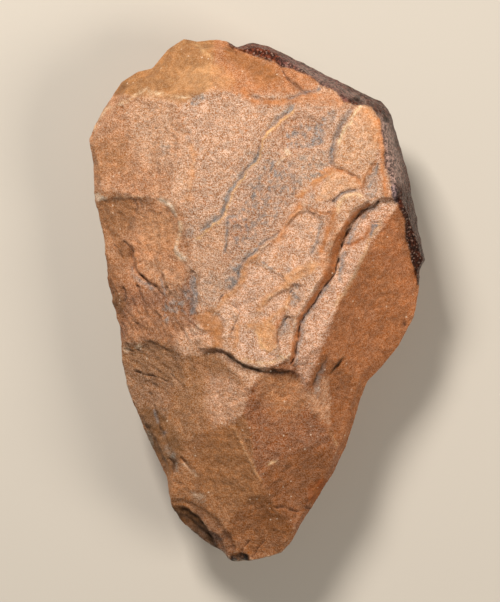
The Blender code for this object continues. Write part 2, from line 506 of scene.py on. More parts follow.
# Beds of the high plate. They lower or raise only the bed, so the scars round it still cut them.
BEDS = (
    Relief("foot strip", -2.4, Patch((
        (388, 200, 1), (376, 202, 1), (371, 205, 1.2), (364, 208, 1.4), (356, 212, 1.8),
        (348, 221, 2.6), (342, 230, 3.2), (337, 239, 3.6), (333, 249, 3.6), (331, 259, 3.4),
        (330, 268, 2.6), (326, 275, 2), (320, 280, 2), (316, 287, 2.2), (311, 296, 2.6),
        (304, 306, 2.8), (298, 315, 2.6), (295, 323, 2.2), (293, 332, 2), (292, 345, 2),
        (291, 353, 1.8), (288, 362, 1.4), (289, 380, 1.4), (300, 420, 4), (440, 420, 4),
        (440, 200, 4),
    ))),
    Relief("middle bed", -1.4, Patch((
        (352, 98, 1.2), (362, 107, 1), (355, 114, 0.8), (350, 121, 0.8), (345, 130, 0.8),
        (340, 139, 0.8), (335, 149, 0.8), (333, 158, 0.8), (332, 170, 1), (325, 179, 1.6),
        (314, 190, 1.8), (306, 198, 1.6), (299, 206, 1.2), (293, 215, 1), (287, 221, 0.9),
        (284, 228, 0.8), (281, 233, 0.8), (276, 238, 0.8), (269, 241, 0.8), (264, 246, 0.8),
        (258, 252, 0.8), (251, 257, 0.8), (246, 261, 0.8), (243, 267, 0.8), (242, 274, 0.8),
        (239, 282, 0.8), (235, 288, 0.8), (227, 293, 0.8), (222, 299, 0.8), (220, 307, 0.8),
        (208, 311, 1), (160, 330, 2), (60, 330, 2), (60, 20, 2), (352, 20, 2),
    ))),
    Relief("third bed", -1.0, Patch((
        (300, 99, 0.9), (295, 107, 0.7), (292, 113, 0.7), (286, 118, 0.7), (279, 123, 0.7),
        (273, 129, 0.7), (268, 134, 0.7), (262, 140, 0.7), (261, 148, 0.7), (260, 157, 0.7),
        (256, 164, 0.7), (250, 169, 0.7), (245, 175, 0.7), (241, 181, 0.7), (237, 187, 0.7),
        (232, 194, 0.7), (228, 201, 0.7), (226, 208, 0.7), (225, 215, 0.7), (221, 220, 0.7),
        (214, 225, 0.7), (208, 230, 0.7), (202, 235, 0.8), (194, 240, 1), (184, 246, 1.4),
        (150, 262, 2), (60, 262, 2), (60, 20, 2), (300, 20, 2),
    ))),
    Relief("plate by the skin", 0.8, Patch((
        (362, 107, 0.7), (355, 114, 0.7), (350, 121, 0.7), (345, 130, 0.7), (340, 139, 0.7),
        (335, 149, 0.7), (333, 158, 0.7), (333, 168, 0.7), (340, 170, 0.7), (350, 175, 0.7),
        (357, 180, 0.7), (360, 187, 0.7), (365, 175, 0.8), (371, 166, 0.8), (374, 159, 0.8),
        (377, 148, 0.9), (377, 132, 1.2), (374, 118, 1.4), (369, 107, 1.4),
    ))),
    Relief("lower plate", 0.5, Patch((
        (333, 170, 0.8), (345, 174, 0.8), (357, 181, 0.8), (360, 188, 0.8), (356, 191, 0.8),
        (347, 192, 0.8), (340, 193, 0.8), (335, 198, 0.9), (328, 203, 1), (316, 205, 1.6),
        (312, 196, 1.6), (322, 182, 1.4),
    ))),
    Relief("blue floor by the strip", -0.7, Patch((
        (372, 168, 0.8), (377, 163, 0.8), (377, 178, 0.7), (376, 190, 0.7), (375, 201, 0.7),
        (367, 200, 0.8), (362, 194, 0.8), (362, 187, 0.8), (367, 177, 0.8),
    ))),
    Relief("strip", 0.5, Trace(0.8, (
        (378, 128), (380, 142), (380, 158), (379, 172), (380, 188), (383, 202)))),
    Relief("narrow ridge", 1.6, Patch((
        (333, 205, 1), (337, 200, 1), (341, 196, 0.9), (349, 194, 0.9), (358, 195, 0.9),
        (368, 201, 1), (360, 208, 1.4), (352, 215, 1.6), (346, 224, 2), (341, 232, 2.4),
        (336, 240, 3.2), (328, 250, 4), (323, 244, 4), (327, 232, 2.6), (330, 220, 1.8),
        (332, 211, 1.2),
    ))),
    Relief("long ridge", 0.8, Trace(1.5, (
        (340, 226), (334, 240), (328, 252), (324, 264), (319, 276), (311, 290), (304, 302), (299, 314),
        (294, 328), (291, 343), (287, 357)))),
    Relief("left flank of the long ridge", 0.4, Trace(1.0, (
        (331, 214), (327, 226), (322, 238), (317, 250), (312, 260), (303, 268)))),
    Relief("upper pink floor", -1.1, Patch((
        (285, 228, 0.8), (290, 221, 0.8), (298, 214, 0.9), (306, 211, 0.8), (315, 215, 0.8),
        (321, 220, 0.8), (321, 229, 0.8), (318, 238, 0.8), (314, 249, 0.9), (310, 258, 1.2),
        (304, 263, 1.6), (297, 266, 1), (292, 270, 0.8), (285, 271, 0.7), (278, 270, 0.7),
        (271, 269, 0.7), (265, 265, 0.7), (259, 261, 0.8), (259, 254, 0.8), (268, 244, 0.8),
        (275, 239, 0.8), (281, 234, 0.8),
    ))),
    Relief("left pink floor", -0.9, Patch((
        (248, 263, 0.9), (257, 262, 0.9), (264, 268, 0.8), (272, 272, 0.8), (281, 274, 1),
        (285, 281, 1.4), (281, 287, 1.6), (273, 292, 1.4), (266, 297, 1.2), (260, 303, 1),
        (255, 312, 1.2), (250, 321, 1.2), (241, 326, 1.2), (237, 321, 1), (240, 314, 0.8),
        (237, 307, 0.8), (230, 301, 0.8), (231, 295, 1), (238, 289, 1), (243, 281, 0.9),
        (245, 271, 0.9),
    ))),
    Relief("middle pink floor", -1.0, Patch((
        (285, 289, 1), (289, 293, 0.8), (287, 301, 0.9), (281, 309, 1), (272, 317, 1),
        (262, 321, 1), (258, 316, 1), (261, 308, 1), (267, 301, 1), (276, 295, 1),
    ))),
    Relief("floor by the grey wall", -1.3, Patch((
        (291, 286, 0.8), (298, 284, 1.2), (303, 287, 1.6), (300, 298, 1.8), (297, 307, 1.8),
        (291, 311, 1.2), (288, 306, 0.7), (288, 298, 0.7), (289, 291, 0.7),
    ))),
    Relief("arched pit", -1.4, Patch((
        (282, 320, 0.6), (286, 315, 0.6), (291, 318, 0.9), (293, 326, 1.4), (293, 338, 1.6),
        (290, 351, 1.6), (285, 357, 1.4), (280, 351, 0.7), (277, 343, 0.6), (276, 335, 0.6),
        (279, 327, 0.6),
    ))),
    Relief("boss", 1.0, Patch((
        (254, 328, 0.6), (262, 322, 1.2), (272, 323, 1.2), (277, 329, 1), (276, 345, 1),
        (271, 352, 0.9), (263, 346, 0.6), (258, 337, 0.6),
    ))),
    Relief("low floor", -0.7, Patch((
        (241, 329, 1.2), (251, 329, 0.8), (256, 337, 0.7), (262, 347, 0.7), (270, 353, 0.8),
        (284, 358, 1), (287, 363, 1), (262, 364, 1.2), (245, 360, 1.2), (237, 352, 1),
        (238, 341, 0.8),
    ))),
    Relief("pit under the butt", -1.0, Patch((
        (286, 124, 1.6), (296, 119, 1.6), (310, 119, 1.6), (321, 127, 1.4), (322, 140, 1),
        (318, 147, 0.7), (306, 151, 0.7), (297, 153, 0.7), (287, 149, 0.8), (281, 141, 1.4),
    ))),
    Relief("plate over the upper pink floor", 0.6, Patch((
        (300, 206, 1), (310, 200, 1), (322, 206, 0.8), (331, 208, 0.7), (330, 214, 0.7),
        (322, 216, 0.7), (313, 213, 0.7), (306, 209, 0.7),
    ))),
    Relief("blob", 0.7, Patch((
        (320, 171, 0.9), (331, 170, 0.9), (332, 177, 0.9), (322, 181, 0.9), (313, 189, 0.9),
        (311, 185, 0.9),
    ))),
    Relief("second blob", 0.7, Patch(((296, 197, 1), (303, 190, 1), (308, 191, 0.9), (302, 199, 0.9)))),
    Relief("reddish plate", 0.7, Patch((
        (229, 221, 0.7), (240, 219, 0.7), (247, 222, 0.8), (246, 233, 1), (238, 241, 1.4),
        (229, 243, 0.8), (228, 231, 0.7),
    ))),
)

# Broken steps and hollows that cut whatever surface is there.
HOLLOWS = (
    Relief("dark scars of the waist", -0.6, Patch((
        (92, 200, 1), (110, 200, 1), (130, 199, 1.2), (146, 199, 1), (159, 200, 0.8),
        (165, 204, 0.8), (170, 209, 0.8), (175, 214, 0.8), (178, 221, 0.8), (180, 227, 0.8),
        (178, 235, 0.8), (177, 242, 0.8), (174, 249, 0.8), (177, 255, 0.9), (186, 262, 1.5),
        (175, 278, 6), (150, 275, 9), (120, 262, 10), (92, 250, 9),
    ))),
    Relief("second waist step", -0.5, Patch((
        (135, 197, 0.8), (138, 208, 0.7), (135, 215, 0.7), (131, 226, 0.8), (128, 238, 1.5),
        (118, 246, 5), (96, 240, 8), (94, 215, 7), (100, 203, 3),
    ))),
    Relief("foot of the plate", -2.1, Patch((
        (200, 350, 3), (215, 349, 1.4), (222, 350, 0.9), (228, 353, 0.7), (238, 361, 0.6),
        (245, 364, 0.6), (253, 366, 0.6), (262, 368, 0.6), (280, 369, 0.6), (291, 370, 0.9),
        (300, 380, 6), (296, 420, 22), (250, 430, 24), (215, 410, 22), (195, 375, 12),
    ))),
    Relief("grey pit", -1.4, Patch((
        (188, 276, 0.6), (190, 272, 0.6), (194, 271, 0.6), (197, 275, 0.6), (199, 282, 0.7),
        (199, 298, 0.8), (197, 314, 1.4), (190, 317, 1.6), (187, 300, 2), (187, 286, 1.2),
    ))),
    Relief("brown hollow", -0.7, Patch((
        (192, 321, 1), (204, 329, 0.9), (213, 324, 1.2), (219, 316, 1.4), (214, 309, 1.6),
        (202, 310, 1.6), (194, 313, 1.4),
    ))),
    Relief("small ring pit", -0.8, Patch((
        (190, 322, 0.8), (200, 329, 0.8), (206, 332, 1), (200, 337, 1), (191, 336, 0.8),
        (187, 329, 0.8),
    ))),
    Relief("pink lobe", 0.8, Patch((
        (219, 313, 1), (226, 305, 0.8), (232, 304, 0.6), (237, 309, 0.6), (239, 315, 0.6),
        (235, 321, 0.6), (232, 329, 0.6), (228, 337, 0.8), (222, 337, 1.2), (225, 328, 1.2),
        (222, 320, 1.2),
    ))),
    Relief("lower waist scar", -0.8, Patch((
        (112, 347, 1.2), (120, 348, 0.8), (135, 350, 0.8), (141, 346, 0.7), (150, 341, 0.6),
        (157, 343, 0.6), (165, 347, 0.6), (172, 351, 0.7), (177, 359, 1.2), (184, 378, 3),
        (165, 392, 6), (135, 388, 7), (112, 372, 6),
    ))),
    Relief("chip by the butt", -0.9, Patch((
        (103, 108, 1), (106, 107, 0.8), (110, 110, 1), (106, 117, 1.2), (101, 115, 1),
    ))),
    Relief("second chip by the butt", -1.0, Patch((
        (114, 94, 1), (120, 84, 1), (128, 82, 1), (128, 90, 1.2), (120, 97, 1.2),
    ))),
    Relief("slope left of the tip", -1.4, Patch((
        (160, 498, 2.4), (180, 499, 2.4), (192, 502, 2), (203, 509, 2), (213, 517, 2),
        (222, 526, 2), (231, 537, 1.6), (236, 548, 1.2), (233, 556, 1), (228, 570, 1),
        (195, 570, 1), (160, 540, 1),
    ))),
    Relief("scars left of the tip", -2.0, Patch((
        (160, 504, 1.2), (174, 506, 1), (181, 506, 0.8), (188, 508, 0.8), (196, 515, 0.8),
        (204, 523, 0.8), (211, 534, 0.8), (216, 544, 0.8), (221, 550, 0.8), (224, 570, 0.8),
        (190, 570, 1), (160, 540, 1),
    ))),
    Relief("notch in the tip", -3.5, Patch((
        (230, 555, 0.6), (240, 553, 0.6), (248, 556, 0.6), (250, 562, 0.8), (247, 570, 1),
        (232, 570, 1), (229, 560, 0.8),
    ))),
    Relief("waist of the butt", -0.7, Patch((
        (184, 135, 0.8), (191, 135, 0.9), (192, 141, 1), (186, 143, 0.9),
    ))),
    Relief("pit by the butt ridge", -0.7, Patch((
        (191, 99, 0.9), (200, 97, 0.9), (207, 100, 1), (204, 108, 1.2), (194, 108, 1),
    ))),
)

# Cracks where the rise is negative and lips where it is positive, along lines.
CRACKS = (
    Relief("notch in the skin", -1.0, Trace(0.7, ((277, 62), (281, 71), (288, 82), (300, 92), (310, 97)))),
    Relief("butt crease", -0.5, Trace(0.8, ((235, 80), (241, 88), (247, 97), (258, 102), (275, 103)))),
    Relief("butt line", -0.35, Trace(0.45, ((284, 102), (290, 101), (305, 97), (315, 94), (322, 91)))),
    Relief("notch above the plate", -1.3, Trace(1.0, ((350, 98), (355, 101), (361, 104)))),
    Relief("notch beside the plate", -1.2, Trace(0.9, ((381, 110), (384, 118), (387, 126)))),
    Relief("notch in the side", -1.0, Trace(0.8, ((396, 184), (395, 195), (394, 206)))),
    Relief("trough of the plate", -0.6, Trace(1.0, (
        (352, 108), (346, 117), (340, 129), (336, 138), (332, 148), (331, 158), (330, 170)))),
    Relief("groove of the plate", -0.4, Trace(0.45, ((339, 112), (334, 118), (332, 127)))),
    Relief("foot of the plate by the skin", -0.4, Trace(0.4, (
        (334, 170), (342, 173), (351, 177), (358, 182), (360, 188)))),
    Relief("ledge foot", -1.0, Trace(0.42, (
        (378, 201), (372, 206), (365, 210), (358, 214), (352, 221), (348, 228), (343, 238), (340, 248),
        (338, 258), (336, 267), (334, 274), (330, 278), (325, 284), (320, 292), (315, 300), (309, 308),
        (304, 316), (300, 324), (298, 332), (297, 345), (295, 354), (291, 362), (291, 369)))),
    Relief("foot of ledge one", -0.45, Trace(0.42, (
        (291, 110), (286, 116), (279, 121), (272, 127), (266, 134), (261, 141), (259, 150), (257, 159),
        (252, 166), (245, 172), (240, 178), (235, 186), (230, 194), (226, 201), (224, 209), (222, 216),
        (214, 222), (207, 228), (199, 234)))),
    Relief("foot of ledge three", -0.55, Trace(0.42, (
        (280, 232), (273, 238), (266, 241), (261, 246), (255, 252), (248, 257), (243, 262), (240, 269),
        (239, 277), (235, 285), (227, 291), (221, 297), (219, 305)))),
    Relief("cross ledge", 0.6, Ledge(0.8, 2.5, (
        (341, 248), (346, 245), (352, 243), (358, 241), (364, 238), (367, 232), (368, 226), (369, 222)))),
    Relief("foot of the cross ledge", -0.5, Trace(0.5, ((370, 237), (370, 230), (371, 225), (376, 224)))),
    Relief("upper edge of the blue triangle", -0.5, Trace(0.4, ((367, 223), (373, 223), (380, 224)))),
    Relief("plate foot", -0.5, Trace(0.5, (
        (215, 350), (222, 351), (228, 354), (233, 358), (238, 362), (245, 366), (253, 368), (262, 370),
        (280, 371), (290, 371)))),
    Relief("seam left of the narrow ridge", -0.5, Trace(0.45, (
        (331, 205), (335, 199), (340, 194), (347, 192), (356, 192)))),
    Relief("lip of ledge three", 0.45, Trace(0.8, (
        (298, 208), (291, 217), (286, 225), (283, 233), (277, 240), (270, 244), (262, 251), (253, 258),
        (247, 264), (244, 273), (242, 282), (236, 290), (228, 295)))),
    Relief("saddle", 0.6, Trace(2.2, ((314, 263), (304, 269), (294, 274), (286, 277)))),
    Relief("lip above the pit", 0.35, Trace(0.7, (
        (284, 152), (290, 155), (297, 156), (306, 154), (318, 149)))),
    Relief("crease beside the wall", -0.5, Trace(0.45, ((290, 288), (289, 296), (290, 305)))),
    Relief("edge of the arched pit", -0.6, Trace(0.45, (
        (286, 316), (283, 320), (281, 326), (278, 331), (277, 338), (279, 345), (280, 351)))),
    Relief("edge of the boss", -0.5, Trace(0.42, ((252, 329), (256, 335), (259, 342), (263, 348)))),
    Relief("edge of the pink lobe", -0.5, Trace(0.4, (
        (231, 304), (236, 307), (239, 312), (239, 316), (236, 321), (234, 328), (231, 335)))),
    Relief("edge of the upper pink floor", -0.35, Trace(0.42, (
        (259, 262), (266, 266), (273, 270), (280, 271)))),
    Relief("ridge in the low floor", 0.4, Trace(0.6, ((237, 323), (238, 333), (236, 343), (235, 351)))),
    Relief("groove by the reddish plate", -0.5, Trace(0.45, (
        (240, 218), (234, 217), (229, 219), (227, 226), (227, 236), (226, 246), (224, 255)))),
    Relief("grooves right of ledge one", -0.4, Trace(0.4, (
        (262, 196), (268, 191), (272, 184), (274, 176), (278, 166)))),
    Relief("line under the orange blobs", -0.35, Trace(0.4, (
        (309, 209), (315, 213), (324, 215), (331, 213)))),
    Relief("soft ridge left of the beds", 0.35, Trace(1.2, (
        (184, 136), (190, 144), (194, 156), (194, 176), (191, 198), (188, 212)))),
    Relief("crack of the waist", -0.5, Trace(0.42, (
        (135, 196), (137, 203), (138, 209), (135, 215), (133, 221), (131, 226)))),
    Relief("crevice", 1.9, Ledge(0.7, 4.5, (
        (116, 234), (123, 239), (127, 243), (131, 247), (134, 251), (135, 256), (136, 263), (137, 268),
        (139, 272), (144, 276), (147, 279), (150, 283), (155, 285), (159, 288), (162, 292), (168, 296),
        (174, 300)))),
    Relief("crevice foot", -0.9, Trace(0.5, (
        (123, 240), (127, 244), (131, 248), (133, 252), (134, 257), (135, 263), (136, 268), (138, 273),
        (143, 277), (146, 280), (149, 284), (154, 286), (158, 289), (161, 293), (166, 296)))),
    Relief("ledge a", 0.9, Ledge(0.6, 2.5, ((111, 242), (115, 245), (119, 249), (122, 252), (124, 258)))),
    Relief("ledge b", 1.1, Ledge(0.6, 2.5, (
        (135, 279), (138, 284), (141, 289), (143, 295), (145, 300), (145, 308)))),
    Relief("ledge c", 1.0, Ledge(0.6, 2.2, (
        (121, 281), (124, 286), (126, 291), (127, 297), (127, 302), (125, 310)))),
    Relief("ledge d", 1.1, Ledge(0.6, 2.5, (
        (161, 267), (163, 272), (165, 278), (167, 285), (168, 291), (168, 298)))),
    Relief("ledge e", 0.8, Ledge(0.6, 2.5, ((104, 266), (109, 276), (113, 285), (115, 296), (113, 308)))),
    Relief("ledge f", 0.8, Ledge(0.6, 2.5, ((150, 298), (156, 306), (161, 316), (163, 326), (160, 338)))),
    Relief("ledge g", 0.7, Ledge(0.6, 2.5, ((126, 310), (134, 319), (144, 326), (156, 331)))),
    Relief("foot of ledge a", -0.5, Trace(0.4, ((114, 245), (118, 249), (121, 253)))),
    Relief("foot of ledge b", -0.7, Trace(0.4, ((137, 284), (140, 290), (142, 296), (144, 301)))),
    Relief("foot of ledge c", -0.6, Trace(0.4, ((124, 287), (126, 294), (126, 303)))),
    Relief("foot of ledge d", -0.7, Trace(0.4, ((163, 273), (164, 279), (166, 286), (167, 293)))),
    Relief("groove of the hollow", -0.5, Trace(0.8, ((157, 163), (159, 172), (158, 181)))),
    Relief("lower waist ledge", 0.7, Ledge(0.6, 3.0, (
        (128, 369), (134, 370), (139, 371), (145, 373), (150, 374), (156, 375), (161, 377), (168, 381),
        (175, 385)))),
    Relief("lower waist crack", -0.8, Trace(0.4, (
        (134, 371), (139, 372), (145, 374), (150, 375), (156, 376), (161, 378), (168, 382)))),
    Relief("lower waist crack two", -0.6, Trace(0.4, (
        (171, 373), (175, 378), (179, 381), (182, 384), (184, 388)))),
    Relief("left crack", -0.8, Trace(0.45, (
        (150, 391), (151, 396), (152, 401), (154, 406), (157, 412), (158, 417), (160, 422), (162, 430)))),
    Relief("left ledge", 0.7, Ledge(0.6, 3.0, (
        (150, 396), (153, 405), (157, 413), (160, 423), (166, 436), (172, 452)))),
    Relief("edge crack", -0.8, Trace(0.5, (
        (143, 422), (148, 427), (151, 430), (153, 435), (155, 440), (155, 446)))),
    Relief("edge nick", -0.9, Trace(0.55, ((169, 457), (173, 462), (174, 468), (175, 473)))),
    Relief("edge nick two", -0.9, Trace(0.6, ((181, 454), (184, 459), (187, 464), (190, 469)))),
    Relief("edge nick ledge", 0.7, Ledge(0.6, 2.5, (
        (180, 450), (182, 455), (185, 459), (188, 464), (194, 470)))),
    Relief("edge nick three", -0.7, Trace(0.7, ((172, 479), (178, 483), (184, 486)))),
    Relief("pit line", -0.6, Trace(0.5, ((190, 334), (205, 333), (213, 330)))),
    Relief("facet ledge", 0.6, Ledge(0.6, 3.0, (
        (312, 387), (313, 380), (316, 373), (320, 366), (323, 360), (327, 353)))),
    Relief("foot of the facet ledge", -0.6, Trace(0.45, (
        (326, 354), (322, 361), (318, 369), (314, 377), (312, 385)))),
    Relief("facet notch", 0.7, Ledge(0.6, 3.0, (
        (327, 376), (331, 369), (336, 364), (341, 360), (345, 354)))),
    Relief("foot of the facet notch", -1.3, Trace(0.6, ((329, 373), (333, 367), (338, 363), (342, 359)))),
    Relief("facet chip", -0.8, Trace(1.0, ((402, 319), (406, 326), (411, 333)))),
    Relief("facet chip two", -0.6, Trace(0.8, ((355, 394), (359, 398), (363, 403)))),
    Relief("tip crack", -0.9, Trace(0.5, (
        (273, 506), (283, 507), (290, 510), (297, 511), (303, 508), (312, 508)))),
    Relief("ridge above the tip", 0.45, Trace(0.8, (
        (233, 424), (238, 436), (245, 448), (251, 461), (256, 472), (262, 482)))),
    Relief("tip crack branch", -0.6, Trace(0.45, ((308, 496), (306, 502), (304, 508)))),
    Relief("tip crack left", -0.7, Trace(0.5, ((250, 539), (245, 546), (240, 554)))),
    Relief("tip crack right", -0.7, Trace(0.5, ((265, 541), (257, 549), (251, 559)))),
)
